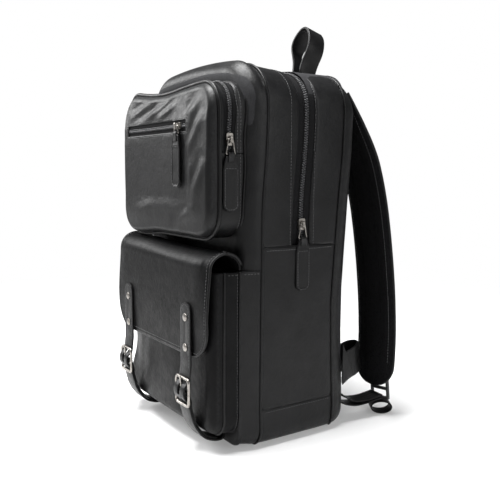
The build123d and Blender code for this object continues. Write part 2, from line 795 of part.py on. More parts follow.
def adjuster(side):
    """A ladder lock: two side walls and three crossbars. It turns on its top bar."""
    view = strap_plane(side, 0)
    centre = view.from_local_coords(adjuster_top)
    face = Plane(centre, x_dir=view.z_dir, z_dir=(0, -1, 0))
    middle = adjuster_bar_r - adjuster_height / 2
    with BuildPart() as lock:
        with BuildSketch(face):
            with Locations((0, middle)):
                RectangleRounded(2 * adjuster_half, adjuster_height, adjuster_bar_r)
            with Locations((0, middle)):
                with GridLocations(1, adjuster_gap + 2 * adjuster_bar_r, 1, 2):
                    Rectangle(webbing_width + 1.0, adjuster_gap, mode=Mode.SUBTRACT)
        extrude(amount=adjuster_bar_r, both=True)
    return lock


def adjuster_eye(side):
    """The webbing eye that is sewn on the pad's outer face and holds the adjuster's top bar."""
    hole_r = adjuster_bar_r * sqrt(2) + fold_gap
    tongue_y = adjuster_y - hole_r - webbing_thick / 2
    pad_face = ribbon(from_anchor(pad_path), pad_bends, pad_thick)
    with BuildPart() as eye:
        with BuildSketch(strap_plane(side, -webbing_width / 2)):
            with Locations((tongue_y, adjuster_top[1] + 13)):
                Rectangle(webbing_thick, 26)
            with Locations(adjuster_top):
                Circle(hole_r + webbing_thick)
                Circle(hole_r, mode=Mode.SUBTRACT)
            add(pad_face, mode=Mode.SUBTRACT)
        extrude(amount=webbing_width)
    return eye


# ---------------------------------------------------------------- corner tabs and lower webbing
tab_outer_x = half - 6.0
tab_tip_y = back_y_at(half) + tab_reach


def corner_tab(side):
    """A leather triangle that is sewn in the back seam and holds the lower webbing."""
    root_y = back_y_at(half) - back_rim_r
    inner_x = sorted((side * (tab_outer_x - tab_leather), side * tab_outer_x))[0]
    with BuildPart() as tab:
        with BuildSketch(SIDE_VIEW.offset(inner_x)) as outline:
            with BuildLine():
                Polyline((root_y, tab_top_z), (tab_tip_y, tab_tip_z + 4), (tab_tip_y, tab_tip_z - 4),
                         (root_y, tab_foot_z), close=True)
            make_face()
        extrude(amount=tab_leather)
        add(body, mode=Mode.SUBTRACT)
    return tab


loop_tilt = radians(13)
loop_path = [(-6, 0), (24, 0), (35, 6), (37, 15), (30, 24), (-6, 22)]


def strap_loop(side):
    """A leather loop inside the corner tab. The webbing's spare length is folded in it."""
    inner_x = side * (tab_outer_x - tab_leather - loop_leather / 2)
    normal = (0, -side * sin(loop_tilt), side * cos(loop_tilt))
    face = Plane((inner_x, tab_tip_y - 14, tab_tip_z + 4), x_dir=(0, cos(loop_tilt), sin(loop_tilt)),
                 z_dir=normal)
    outline = ribbon(loop_path, easy_bends(loop_path), loop_leather)
    with BuildPart() as loop:
        with BuildSketch(face):
            add(outline)
        extrude(amount=loop_band / 2, both=True)
        add(body, mode=Mode.SUBTRACT)
    return loop


def lower_webbing(side):
    """Two runs of webbing from under the corner tab to the adjuster."""
    start = Vector(side * (tab_outer_x - 14), tab_tip_y - 14, 0)
    lock_x = pad_mid_x + tan(splay) * (pad_anchor_z - adjuster_top_z + adjuster_height / 2)
    end = Vector(side * lock_x, adjuster_y - adjuster_bar_r - 4.0, 0)
    reach = (end - start).length
    along = (end - start).normalized()
    face = Plane(start, x_dir=along, z_dir=along.cross(Vector(0, 0, 1)))
    upper = [(-4, 46), (6, 36), (22, 27), (44, 25), (reach, 29)]
    lower = [(-4, 32), (8, 25), (26, 20.5), (46, 21.5), (reach, 25.5)]
    with BuildPart() as webbing:
        for path in (upper, lower):
            run = ribbon(path, easy_bends(path), webbing_thick)
            with BuildSketch(face):
                add(run)
        extrude(amount=webbing_width / 2, both=True)
        add(body, mode=Mode.SUBTRACT)
    return webbing


def webbing_tail(side):
    """The spare end of the webbing, in a loop below the adjuster."""
    view = radians(34)
    lock_foot = strap_plane(side, 0).from_local_coords(
        (adjuster_y, adjuster_top[1] + adjuster_bar_r - adjuster_height))
    half_tail = webbing_width * 0.4
    tail_top = lock_foot.Z - sin(splay) * half_tail - fold_gap
    rise = (tail_top - tail_foot_z) / 2
    face = Plane((lock_foot.X, adjuster_y, tail_foot_z + rise),
                 x_dir=(side * sin(view), cos(view), 0), z_dir=(cos(view), -side * sin(view), 0))
    with BuildPart() as tail:
        with BuildSketch(face):
            Ellipse(tail_half, rise)
            Ellipse(tail_half - webbing_thick, rise - webbing_thick, mode=Mode.SUBTRACT)
        extrude(amount=half_tail, both=True)
    return tail


for name, side in (("left", -1), ("right", 1)):
    save(shoulder_pad(side), f"shoulder_strap_{name}")
    save(adjuster_eye(side), f"adjuster_eye_{name}")
    save(adjuster(side), f"adjuster_{name}")
    save(lower_webbing(side), f"webbing_{name}")
    save(webbing_tail(side), f"webbing_tail_{name}")
save_pair(corner_tab, (-1, 1), "corner_tabs")
save_pair(strap_loop, (-1, 1), "strap_loops")


# ---------------------------------------------------------------- zip sliders, rings and pullers
def zip_slider(face, along_x, chain_half, chain_h):
    """A plate over the teeth with a flange down each side, and a bridge that holds the ring."""
    side_x = chain_half + slider_clear + slider_flange
    width, length = (slider_length, 2 * side_x) if along_x else (2 * side_x, slider_length)
    flange_at = side_x - slider_flange / 2
    flange = (slider_length - 4, slider_flange) if along_x else (slider_flange, slider_length - 4)
    spots = ((0, flange_at), (0, -flange_at)) if along_x else ((flange_at, 0), (-flange_at, 0))
    bridge = Plane(face.origin, x_dir=face.y_dir, z_dir=face.x_dir).offset(-bridge_width / 2)
    with BuildPart() as slider:
        with BuildSketch(face.offset(-slider_plate)):
            RectangleRounded(width, length, 2.2)
        extrude(amount=slider_plate)
        with BuildSketch(face.offset(-slider_plate - chain_h)):
            with Locations(*spots):
                Rectangle(*flange)
        extrude(amount=chain_h)
        with BuildSketch(bridge) as arch:
            with Locations((0, bridge_height / 2)):
                Rectangle(2 * bridge_half, bridge_height)
            fillet(arch.vertices().group_by(Axis.Y)[-1], 1.6)
            with Locations((0, (bridge_height - bridge_wall) / 2)):
                Rectangle(2 * (bridge_half - bridge_wall), bridge_height - bridge_wall,
                          mode=Mode.SUBTRACT)
        extrude(amount=bridge_width)
    return slider


def zip_ring(face, drop):
    """A wire loop, narrow at the slider's bridge and wide at the puller."""
    with BuildPart() as ring:
        with BuildLine(face.offset(ring_lift)) as wire:
            FilletPolyline((-ring_top_half, 0), (ring_top_half, 0), (ring_foot_half, -drop),
                           (-ring_foot_half, -drop), radius=ring_bend_r, close=True)
        with BuildSketch(Plane(wire.line @ 0, z_dir=wire.line % 0)):
            Circle(ring_wire_r)
        sweep()
    return ring


def zip_puller(face, drop):
    """A leather tab with a folded eye round the ring's lower bar."""
    hole_r = ring_wire_r + fold_gap
    eye_r = hole_r + puller_eye_wall
    eye = Plane(face.origin, x_dir=face.y_dir, z_dir=face.x_dir).offset(-puller_eye_width / 2)
    top = -drop - eye_r - 0.4
    with BuildPart() as puller:
        with BuildSketch(face.offset(ring_lift - puller_leather / 2)) as tab:
            with Locations((0, top - puller_length / 2)):
                Rectangle(puller_width, puller_length)
            fillet(tab.vertices().group_by(Axis.Y)[-1], 4)
            fillet(tab.vertices().group_by(Axis.Y)[0], 9)
            with Locations((0, top - 1)):
                Rectangle(puller_eye_width, 2 * (eye_r - hole_r) + 2)
        extrude(amount=puller_leather)
        with BuildSketch(eye):
            with Locations((-drop, ring_lift)):
                Circle(eye_r)
        extrude(amount=puller_eye_width)
        with BuildSketch(eye):
            with Locations((-drop, ring_lift)):
                Circle(hole_r)
        extrude(amount=puller_eye_width, mode=Mode.SUBTRACT)
    return puller


plate_top = slider_clear + slider_plate
main_face = Plane((half - leather + chain_height + plate_top, zip_centre_y, main_slider_z),
                  x_dir=(0, 1, 0), z_dir=(1, 0, 0))
pocket_face = Plane((pocket_half - thin_leather + pocket_chain_h + plate_top, pocket_zip_y,
                     pocket_slider_z), x_dir=(0, 1, 0), z_dir=(1, 0, 0))
slot_face = Plane((slot_slider_x, slot_tape_y - pocket_chain_h - plate_top, slot_z),
                  x_dir=(1, 0, 0), z_dir=(0, -1, 0))

save(zip_slider(main_face, False, chain_width / 2, chain_height), "main_zip_slider")
save(zip_slider(pocket_face, False, pocket_chain_half, pocket_chain_h), "pocket_zip_slider")
save(zip_slider(slot_face, True, slot_chain_half, pocket_chain_h), "slot_zip_slider")
for name, face, drop in (("main", main_face, ring_drop), ("pocket", pocket_face, ring_drop),
                         ("slot", slot_face, slot_ring_drop)):
    save(zip_ring(face, drop), f"{name}_zip_ring")
    save(zip_puller(face, drop), f"{name}_zip_puller")

print(len(PARTS), "parts")
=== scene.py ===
"""Leather backpack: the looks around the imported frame.

Leather panels, zips, straps and pads are built here as meshes, in millimetres, and scaled to metres
where a mesh is made. X runs to the right of someone looking at the front, Y to the back, Z up.
"""

import json
import math

import bpy
import numpy as np
from mathutils import Matrix, Vector
from mathutils.bvhtree import BVHTree


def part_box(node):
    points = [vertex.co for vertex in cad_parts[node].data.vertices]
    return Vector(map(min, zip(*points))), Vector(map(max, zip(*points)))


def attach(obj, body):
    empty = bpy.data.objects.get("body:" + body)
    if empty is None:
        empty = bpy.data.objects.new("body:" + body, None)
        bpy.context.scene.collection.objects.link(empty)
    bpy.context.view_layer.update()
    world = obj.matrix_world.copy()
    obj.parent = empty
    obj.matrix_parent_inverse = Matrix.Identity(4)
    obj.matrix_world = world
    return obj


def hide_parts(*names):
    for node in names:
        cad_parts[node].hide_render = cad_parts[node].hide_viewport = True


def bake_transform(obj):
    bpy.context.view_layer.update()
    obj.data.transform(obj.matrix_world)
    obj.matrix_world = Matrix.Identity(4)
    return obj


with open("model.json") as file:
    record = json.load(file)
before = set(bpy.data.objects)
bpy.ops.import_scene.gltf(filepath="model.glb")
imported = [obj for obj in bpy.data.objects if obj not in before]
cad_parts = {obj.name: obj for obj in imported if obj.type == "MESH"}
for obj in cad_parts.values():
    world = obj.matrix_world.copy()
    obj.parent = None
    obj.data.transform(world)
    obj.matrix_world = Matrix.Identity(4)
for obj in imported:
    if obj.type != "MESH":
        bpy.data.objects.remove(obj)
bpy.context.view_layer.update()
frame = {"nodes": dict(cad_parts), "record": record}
scene = bpy.context.scene
NODES = frame["nodes"]
MM = 0.001


def reach(node):
    """Lowest and highest corner of a node, in millimetres."""
    low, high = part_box(node)
    return np.array(low) / MM, np.array(high) / MM


# ---------------------------------------------------------------- sizes, from the frame
BODY_HIGH = reach("back_panel")[1]
HALF = BODY_HIGH[0]
TOP = BODY_HIGH[2]
BACK = BODY_HIGH[1]
FRONT = reach("front_panel")[0][1]
CROWN = 11.0
BULGE_R = 275.0  # the back's bulge, seen from above
SEAM_INSET = 18.5  # the back seam lies this far ahead of the back
BACK_RIM = 16.0
FRONT_RIM = 20.0
MID_SEAM = reach("side_panels")[1][2]
BASE_SEAM = reach("base_panel")[1][2]
ZIP_LOW = reach("zip_gusset_front")[1][1]
ZIP_HIGH = reach("zip_gusset_back")[0][1]
ZIP_Y = (ZIP_LOW + ZIP_HIGH) / 2
LEATHER = 2.4  # the body's leather
THIN = 1.8  # the pockets' leather
FAR = 1000.0
BAND_PACE, LINE_PACE = 3.0, 2.0  # how far apart a rim's points are taken
POCKET_LOW, POCKET_HIGH = reach("upper_pocket_front")
POCKET_SEAM = POCKET_HIGH[1]
POCKET_RIM = 8.0
POCKET_CORNER = 32.0
POCKET_END = reach("upper_pocket_gusset")[1][2]
POCKET_ZIP_Y = -40.0
POCKET_ZIP_HALF = 7.5
SLOT_LOW, SLOT_HIGH = reach("slot_zip_teeth")
SLOT_Z = (SLOT_LOW[2] + SLOT_HIGH[2]) / 2
SLOT_HALF = 7.0
SATCHEL_LOW, SATCHEL_HIGH = reach("satchel_front")
SATCHEL_SEAM = SATCHEL_HIGH[1]
SATCHEL_RIM = 16.0
SATCHEL_CORNER = 24.0
HEM = SATCHEL_HIGH[2]
SLIP_SEAM = -28.0
OPEN_TOP = HEM + 200  # an open pocket's outline closes far above its hem
FLAP_LOW, FLAP_HIGH = reach("flap")
STRAP_X = 82.0
STRAP_HALF = 12.0

# ---------------------------------------------------------------- camera
CAMERA_AZIMUTH, CAMERA_ELEVATION, CAMERA_ROLL = map(math.radians, (56.05, 6.56, 0.26))
CAMERA_TARGET = Vector((0.0319, 0.0474, 0.2306))
CAMERA_DISTANCE = 0.8798


def make_camera():
    """A camera that looks at the bag's front and right side from low down."""
    flat = math.cos(CAMERA_ELEVATION)
    back = Vector((math.sin(CAMERA_AZIMUTH) * flat, -math.cos(CAMERA_AZIMUTH) * flat,
                   math.sin(CAMERA_ELEVATION)))
    right = (-back).cross(Vector((0, 0, 1))).normalized()
    up = right.cross(-back)
    side = right * math.cos(CAMERA_ROLL) + up * math.sin(CAMERA_ROLL)
    data = bpy.data.cameras.new("camera")
    data.lens = 47.5
    data.sensor_width = 36
    camera = bpy.data.objects.new("camera", data)
    scene.collection.objects.link(camera)
    turn = Matrix((side, back.cross(side), back)).transposed()
    camera.matrix_world = Matrix.Translation(CAMERA_TARGET + back * CAMERA_DISTANCE) @ turn.to_4x4()
    scene.camera = camera


make_camera()

# ---------------------------------------------------------------- materials


class Shader:
    """A material under construction: its nodes, its Principled shader and its bump chain."""

    def __init__(self, name, roughness, metallic=0.0, shine=0.5):
        self.material = bpy.data.materials.new(name)
        self.material.use_nodes = True
        self.nodes = self.material.node_tree.nodes
        self.links = self.material.node_tree.links
        self.surface = self.nodes["Principled BSDF"]
        self.surface.inputs["Roughness"].default_value = roughness
        self.surface.inputs["Metallic"].default_value = metallic
        self.surface.inputs["Specular IOR Level"].default_value = shine
        self.place = self.nodes.new("ShaderNodeTexCoord").outputs["Object"]
        self.bumped = None

    def node(self, kind, **settings):
        made = self.nodes.new(kind)
        for key, value in settings.items():
            if hasattr(made, key):
                setattr(made, key, value)
            else:
                made.inputs[key.replace("_", " ")].default_value = value
        return made

    def link(self, source, target):
        self.links.new(source, target)

    def noise(self, size, detail=3.0, roughness=0.5):
        """Smooth noise with blobs of about size, in millimetres."""
        mapping = self.node("ShaderNodeMapping", Scale=(1, 1, 1))
        self.link(self.place, mapping.inputs["Vector"])
        made = self.node("ShaderNodeTexNoise", Scale=1 / (size * MM), Detail=detail, Roughness=roughness)
        self.link(mapping.outputs["Vector"], made.inputs["Vector"])
        return made.outputs["Fac"]

    def cells(self, size, feature="F1", warp=0.0):
        """Pebbles of about size, in millimetres."""
        made = self.node("ShaderNodeTexVoronoi", Scale=1 / (size * MM), feature=feature)
        source = self.place
        if warp:
            jitter = self.node("ShaderNodeTexNoise", Scale=0.5 / (size * MM), Detail=2.0)
            self.link(self.place, jitter.inputs["Vector"])
            shift = self.node("ShaderNodeVectorMath", operation="MULTIPLY_ADD")
            self.link(jitter.outputs["Color"], shift.inputs[0])
            shift.inputs[1].default_value = (warp * MM,) * 3
            self.link(self.place, shift.inputs[2])
            source = shift.outputs["Vector"]
        self.link(source, made.inputs["Vector"])
        return made.outputs["Distance"]

    def wave(self, size, direction):
        """Ribs of about size, in millimetres, across one direction."""
        made = self.node("ShaderNodeTexWave", Scale=0.05 / (size * MM), bands_direction=direction)
        self.link(self.place, made.inputs["Vector"])
        return made.outputs["Fac"]

    def ramp(self, source, low, high, start=0.3, end=0.7):
        """Maps source onto two values or two colours."""
        if isinstance(low, tuple):
            made = self.node("ShaderNodeValToRGB")
            made.color_ramp.elements[0].position = start
            made.color_ramp.elements[1].position = end
            made.color_ramp.elements[0].color = (*low, 1)
            made.color_ramp.elements[1].color = (*high, 1)
            self.link(source, made.inputs["Fac"])
            return made.outputs["Color"]
        made = self.node("ShaderNodeMapRange")
        for socket, value in zip(("From Min", "From Max", "To Min", "To Max"), (start, end, low, high)):
            made.inputs[socket].default_value = value
        self.link(source, made.inputs["Value"])
        return made.outputs["Result"]

    def mix(self, share, first, second):
        made = self.node("ShaderNodeMix", data_type="RGBA")
        self.link(share, made.inputs["Factor"])
        for socket, value in (("A", first), ("B", second)):
            target = [i for i in made.inputs if i.name == socket and i.type == "RGBA"][0]
            if isinstance(value, tuple):
                target.default_value = (*value, 1)
            else:
                self.link(value, target)
        return [o for o in made.outputs if o.type == "RGBA"][0]

    def colour(self, source):
        self.link(source, self.surface.inputs["Base Color"])

    def roughness(self, source, low, high):
        self.link(self.ramp(source, low, high), self.surface.inputs["Roughness"])

    def bump(self, source, height, strength=1.0):
        """Adds relief of the given height, in millimetres, over what is there."""
        made = self.node("ShaderNodeBump")
        made.inputs["Strength"].default_value = strength
        made.inputs["Distance"].default_value = height * MM
        self.link(source, made.inputs["Height"])
        if self.bumped is not None:
            self.link(self.bumped, made.inputs["Normal"])
        self.bumped = made.outputs["Normal"]
        self.link(self.bumped, self.surface.inputs["Normal"])


def leather_material(name, dark, light, rough, grain=0.7, shine=0.2):
    """Pebbled leather with broad creases, from dark to light, paler where the wear attribute says so."""
    shader = Shader(name, rough, shine=shine)
    tone = shader.ramp(shader.noise(45, 4.0, 0.6), dark, light)
    wear = shader.node("ShaderNodeAttribute", attribute_name="wear").outputs["Fac"]
    scuffs = shader.noise(3.0, 5.0, 0.7)
    worn = shader.node("ShaderNodeMath", operation="MULTIPLY")
    shader.link(wear, worn.inputs[0])
    shader.link(shader.ramp(scuffs, 0.0, 1.0, 0.35, 0.65), worn.inputs[1])
    shader.colour(shader.mix(worn.outputs["Value"], tone, tuple(2.4 * c + 0.006 for c in light)))
    shader.roughness(shader.noise(9, 6.0, 0.7), rough - 0.08, rough + 0.10)
    shader.bump(shader.noise(18, 3.0, 0.5), 1.1, 0.45)
    shader.bump(shader.noise(4.5, 3.0, 0.6), 0.34, 0.6)
    shader.bump(shader.cells(2.6 * grain, "DISTANCE_TO_EDGE", 1.2), 0.14, 0.5)
    shader.bump(shader.cells(grain, "F1", 0.5), 0.09, 0.55)
    shader.bump(shader.noise(0.5, 3.0, 0.7), 0.05, 0.5)
    return shader.material


def thread_material():
    """Sewing thread, paler than the leather it holds."""
    shader = Shader("thread", 0.6)
    shader.colour(shader.ramp(shader.noise(1.5), (0.035, 0.035, 0.036), (0.085, 0.085, 0.088)))
    shader.bump(shader.noise(0.25, 2.0, 0.5), 0.1, 0.6)
    return shader.material


def tape_material():
    """A zip's woven tape."""
    shader = Shader("zip_tape_cloth", 0.82, shine=0.1)
    shader.colour(shader.ramp(shader.noise(0.9, 4.0, 0.7), (0.003, 0.003, 0.003), (0.010, 0.010, 0.011)))
    shader.bump(shader.wave(0.7, "Z"), 0.12, 0.6)
    shader.bump(shader.wave(0.7, "X"), 0.08, 0.4)
    shader.bump(shader.noise(0.4, 3.0), 0.08, 0.5)
    return shader.material


def teeth_material():
    """A zip's moulded coil."""
    shader = Shader("zip_coil", 0.38)
    shader.colour(shader.ramp(shader.noise(4.0), (0.022, 0.022, 0.024), (0.050, 0.050, 0.053)))
    shader.bump(shader.noise(0.4), 0.04, 0.4)
    return shader.material


def metal_material():
    """Brushed, slightly uneven pewter."""
    shader = Shader("pewter", 0.3, 1.0)
    tone = shader.ramp(shader.noise(5.0, 5.0, 0.6), (0.20, 0.185, 0.17), (0.36, 0.34, 0.315))
    shader.colour(tone)
    shader.roughness(shader.noise(1.6, 5.0, 0.7), 0.22, 0.42)
    shader.bump(shader.noise(0.8, 4.0, 0.6), 0.05, 0.3)
    return shader.material


def webbing_material(name, rough, dark, light):
    """Woven cloth with a slanting rib."""
    shader = Shader(name, rough, shine=0.15)
    shader.colour(shader.ramp(shader.noise(1.1, 4.0, 0.6), dark, light))
    shader.bump(shader.wave(1.3, "DIAGONAL"), 0.25, 0.6)
    shader.bump(shader.wave(0.9, "X"), 0.2, 0.5)
    shader.bump(shader.noise(0.4, 3.0), 0.08, 0.5)
    return shader.material


def mesh_material():
    """Spacer mesh: rows of small round holes in a soft knit, near black in its holes and kept very dark all
    over, both as painted shade.
    """
    shader = Shader("spacer_knit_painted_shade", 0.85, shine=0.05)
    holes = shader.cells(2.6)
    # Painted shade: the holes are near black for the shade in their depths, and the knit's tone is kept low
    # for the shade the strap's mesh side lies in.
    shader.colour(shader.ramp(holes, (0.001, 0.001, 0.001), (0.0065, 0.0065, 0.007), 0.12, 0.42))
    shader.bump(shader.ramp(holes, 0.0, 1.0, 0.08, 0.40), 0.7, 0.9)
    shader.bump(shader.wave(0.9, "DIAGONAL"), 0.15, 0.6)
    return shader.material


def plastic_material():
    """Moulded black plastic."""
    shader = Shader("moulded_plastic", 0.4)
    shader.colour(shader.ramp(shader.noise(9.0), (0.010, 0.010, 0.011), (0.018, 0.018, 0.019)))
    shader.roughness(shader.noise(2.0, 4.0), 0.34, 0.48)
    shader.bump(shader.noise(0.5, 3.0), 0.03, 0.4)
    return shader.material


def floor_material():
    """White paper that catches the shadow near the bag, where a quarter glow of painted light lifts that
    shadow, and glows white further off.
    """
    shader = Shader("studio_floor", 0.7, shine=0.2)
    shader.colour(shader.ramp(shader.noise(400), (0.90, 0.90, 0.90), (0.92, 0.92, 0.92)))
    distance = shader.node("ShaderNodeVectorMath", operation="LENGTH")
    shader.link(shader.place, distance.inputs[0])
    # The glow is a quarter strong even beside the bag: painted light that fades the bag's cast shadow on the
    # floor.
    far = shader.ramp(distance.outputs["Value"], 0.25, 1.0, 0.4, 1.3)
    glow = shader.node("ShaderNodeEmission")
    glow.inputs["Color"].default_value = (1, 1, 1, 1)
    glow.inputs["Strength"].default_value = 1.0
    mix = shader.node("ShaderNodeMixShader")
    shader.link(far, mix.inputs["Fac"])
    shader.link(shader.surface.outputs["BSDF"], mix.inputs[1])
    shader.link(glow.outputs["Emission"], mix.inputs[2])
    shader.link(mix.outputs["Shader"], shader.nodes["Material Output"].inputs["Surface"])
    return shader.material


BODY = leather_material("body_leather_grain", (0.0032, 0.0032, 0.0034), (0.0075, 0.0075, 0.0079), 0.42)
TRIM = leather_material("trim_leather_grain", (0.0030, 0.0030, 0.0032), (0.0070, 0.0070, 0.0073), 0.38, 0.6)
# A darker, less glossy copy of the body leather for the flap and the satchel pocket: painted shade standing
# for the darker look these parts take under the lights.
SHADED_LEATHER = leather_material("satchel_leather_painted_shade", (0.0028, 0.0028, 0.0030), (0.0062, 0.0062, 0.0065), 0.42,
                        shine=0.08)
THREAD = thread_material()
TAPE = tape_material()
TEETH = teeth_material()
METAL = metal_material()
WEBBING = webbing_material("woven_webbing", 0.5, (0.003, 0.003, 0.003), (0.012, 0.012, 0.013))
LINING = webbing_material("lining_twill", 0.8, (0.012, 0.012, 0.013), (0.030, 0.030, 0.032))
MESH = mesh_material()
PLASTIC = plastic_material()
LOOKS = {"body_leather": BODY, "trim_leather": TRIM, "lining_cloth": LINING, "zip_tape": TAPE,
         "zip_teeth": TEETH, "pewter_metal": METAL, "strap_webbing": WEBBING, "spacer_mesh": MESH,
         "padded_strap": TRIM, "black_plastic": PLASTIC}

for part in frame["record"]["subparts"]:
    finish = NODES[part["node"]].data.materials
    finish.clear()
    finish.append(LOOKS[part["material_slot"]])
    NODES[part["node"]].data.shade_smooth()
    NODES[part["node"]].data.set_sharp_from_angle(angle=math.radians(32))

# ---------------------------------------------------------------- mesh helpers


def soft_noise(points, size, seed=0):
    """Smooth noise from -1 to 1 with blobs of about size, in millimetres."""
    place = points / size + 13.7 * seed
    cell = np.floor(place).astype(np.int64)
    share = place - cell
    share = share * share * (3 - 2 * share)
    total = 0
    for corner in np.ndindex(2, 2, 2):
        key = cell + np.array(corner)
        code = key[..., 0] * 374761393 + key[..., 1] * 668265263 + key[..., 2] * 974634777
        code = (code ^ (code >> 13)) * 1274126177
        value = ((code ^ (code >> 16)) & 65535) / 32767.5 - 1
        weight = np.prod(np.where(np.array(corner), share, 1 - share), axis=-1)
        total = total + value * weight
    return total


def step(value, low, high):
    """From 0 at low to 1 at high, smoothly."""
    share = np.clip((value - low) / (high - low), 0, 1)
    return share * share * (3 - 2 * share)


# Leather keeps still round the sliders: each one's middle and how far that reaches.
HARDWARE = [((reach(node)[0] + reach(node)[1]) / 2, 26.0)
            for node in ("main_zip_slider", "pocket_zip_slider", "slot_zip_slider")]


# How far the back edge is pushed back, at heights up the bag.
EDGE_HEIGHTS = (0, 35, 110, 170, 240, 300, 360, 410, 470)
EDGE_PUSH = (0, 2, -1, -2.5, 2.0, 6.5, 12, 15, 9)


def settled(points):
    """Where soft leather really stands: the whole bag sags and swells a little, its seams with it."""
    x, y, z = points[..., 0], points[..., 1], points[..., 2]
    moved = np.stack([1.5 * soft_noise(points, 120, 61), 1.3 * soft_noise(points, 95, 62),
                      1.4 * soft_noise(points, 105, 63)], -1)
    moved *= (0.15 + 0.85 * step(z, 5, 70))[..., None]
    # The back edge stands out near the top, and the whole top leans back a little and sags.
    at_edge = step(np.abs(x), 94, 130)
    moved[..., 1] += np.interp(z, EDGE_HEIGHTS, EDGE_PUSH) * step(y, 60, 125) * at_edge
    moved[..., 1] += 7.5 * step(z, 285, 400) * step(y, -60, -8) * (1 - step(y, 60, 120))
    moved[..., 2] -= 4.5 * step(z, 395, 465) * step(y, -20, 30)
    # The upper pocket's top dips in its middle and climbs towards the bag.
    moved[..., 2] -= 5.5 * np.exp(-((x + 12) / 58) ** 2) * step(-y, 26, 46) * step(z, 390, 432)
    moved[..., 2] += 3.0 * np.exp(-((x + 105) / 26) ** 2) * step(-y, 26, 46) * step(z, 395, 432)
    moved[..., 2] += 5.0 * step(y, -62, -34) * step(-y, -2, 12) * step(z, 395, 432)
    moved[..., 2] -= 5.0 * step(-x, 10, 75) * step(-y, 20, 50) * step(z, 238, 256) * step(-z, -300, -275)
    # The lower pocket's far corner is drawn in behind its buckle strap.
    moved[..., 1] += 13.0 * step(-x, 62, 124) * step(-y, 34, 72) * step(z, 40, 95) * step(-z, -232, -214)
    for centre, room in HARDWARE:
        near = np.exp(-np.sum((points - centre) ** 2, -1) / room ** 2)
        moved *= (1 - near)[..., None]
    moved[..., 2] *= step(z, 0, 25)
    return points + moved


def make(name, points, faces, look, body="root", slot=None, replaced=(), wear=None):
    """A mesh object from points in millimetres, riding on its body."""
    mesh = bpy.data.meshes.new(name)
    mesh.from_pydata((np.asarray(points, float).reshape(-1, 3) * MM).tolist(), [], faces)
    mesh.materials.append(look)
    mesh.shade_smooth()
    if wear is not None:
        mesh.attributes.new("wear", "FLOAT", "POINT").data.foreach_set(
            "value", np.asarray(wear, np.float32).ravel())
    piece = bpy.data.objects.new(name, mesh)
    scene.collection.objects.link(piece)
    if body:
        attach(piece, body)
    if replaced:
        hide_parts(*replaced)
    return piece


def unit(vectors):
    """Vectors scaled to a length of one."""
    return vectors / np.maximum(np.linalg.norm(vectors, axis=-1, keepdims=True), 1e-9)


def grid_normals(grid):
    """The direction that a grid of points faces, at each of them."""
    return unit(np.cross(np.gradient(grid, axis=0), np.gradient(grid, axis=1)))


def placed(x, y, z):
    """Points from their three coordinates, each a number or an array."""
    return np.stack(np.broadcast_arrays(x, y, z), -1)


def travelled(path):
    """How far along a path each of its points lies."""
    return np.concatenate([[0], np.cumsum(np.linalg.norm(np.diff(path, axis=0), axis=1))])


def sampled(at, distances, values):
    """Rows of values, known at some distances, read off at others."""
    return np.stack([np.interp(at, distances, column) for column in values.T], 1)


def tube_faces(rings, sides, first=0, closed=False, outward=True):
    """Faces round a row of rings of points, with a cap at each end unless the row is closed."""
    faces = []
    for i in range(rings if closed else rings - 1):
        a, b = first + i * sides, first + (i + 1) % rings * sides
        for k in range(sides):
            m = (k + 1) % sides
            faces.append([a + k, b + k, b + m, a + m] if outward else [a + k, a + m, b + m, b + k])
    if not closed:
        last = first + (rings - 1) * sides
        faces += [[first + k for k in range(sides)][::-1], [last + k for k in range(sides)]]
    return faces


def shell(grid, thick, outward=1.0):
    """Points and faces of a sheet: the grid is its outer face, and thick lies behind it."""
    rows, columns = grid.shape[:2]
    outer = grid.reshape(-1, 3)
    inner = (grid - outward * grid_normals(grid) * thick).reshape(-1, 3)
    index = np.arange(rows * columns).reshape(rows, columns)
    a, b = index[:-1, :-1].ravel(), index[1:, :-1].ravel()
    c, d = index[1:, 1:].ravel(), index[:-1, 1:].ravel()
    quads = np.stack([a, b, c, d], 1)
    behind = quads[:, ::-1] + rows * columns
    ring = np.concatenate([index[0, :], index[1:, -1], index[-1, -2::-1], index[-2:0:-1, 0]])
    following = np.roll(ring, -1)
    edge = np.stack([following, ring, ring + rows * columns, following + rows * columns], 1)
    faces = np.concatenate([quads, behind, edge[:, ::-1]])
    if outward < 0:
        faces = faces[:, ::-1]
    return np.concatenate([outer, inner]), faces.tolist()


def sheet_piece(name, grid, thick, look, outward=1.0, wear=None, soft=True, **rest):
    """A sheet of leather or cloth from a grid of its outer face. Soft ones settle with the bag."""
    if soft:
        grid = settled(grid)
    points, faces = shell(grid, thick, outward)
    if wear is not None:
        wear = np.concatenate([wear.ravel(), wear.ravel()])
    return make(name, points, faces, look, wear=wear, **rest)


def join(pieces, name):
    """Several pieces of one body as one object."""
    first = pieces[0]
    with bpy.context.temp_override(active_object=first, selected_editable_objects=pieces,
                                   object=first):
        bpy.ops.object.join()
    first.name = name
    first.data.name = name
    return first


def spaced(count):
    """From 0 to 1, closer together at both ends."""
    return 0.5 - 0.5 * np.cos(np.pi * np.linspace(0, 1, count))


def slack(points, height, seed=0):
    """The gentle unevenness of leather over foam."""
    return height * (0.6 * soft_noise(points, 70, seed) + 0.3 * soft_noise(points, 32, seed + 1)
                     + 0.12 * soft_noise(points, 13, seed + 2))


def crease(u, v, start, end, width, height):
    """A fold from start to end, fading at both, in the plane of u and v."""
    (ua, va), (ub, vb) = start, end
    du, dv = ub - ua, vb - va
    length = math.hypot(du, dv)
    along = ((u - ua) * du + (v - va) * dv) / length
    across = ((v - va) * du - (u - ua) * dv) / length
    across = across + 0.04 * length * np.sin(2.4 * along / length + ua)
    fade = np.clip(along / length, 0, 1)
    return height * np.exp(-(across / width) ** 2) * np.sin(np.pi * fade) ** 0.8


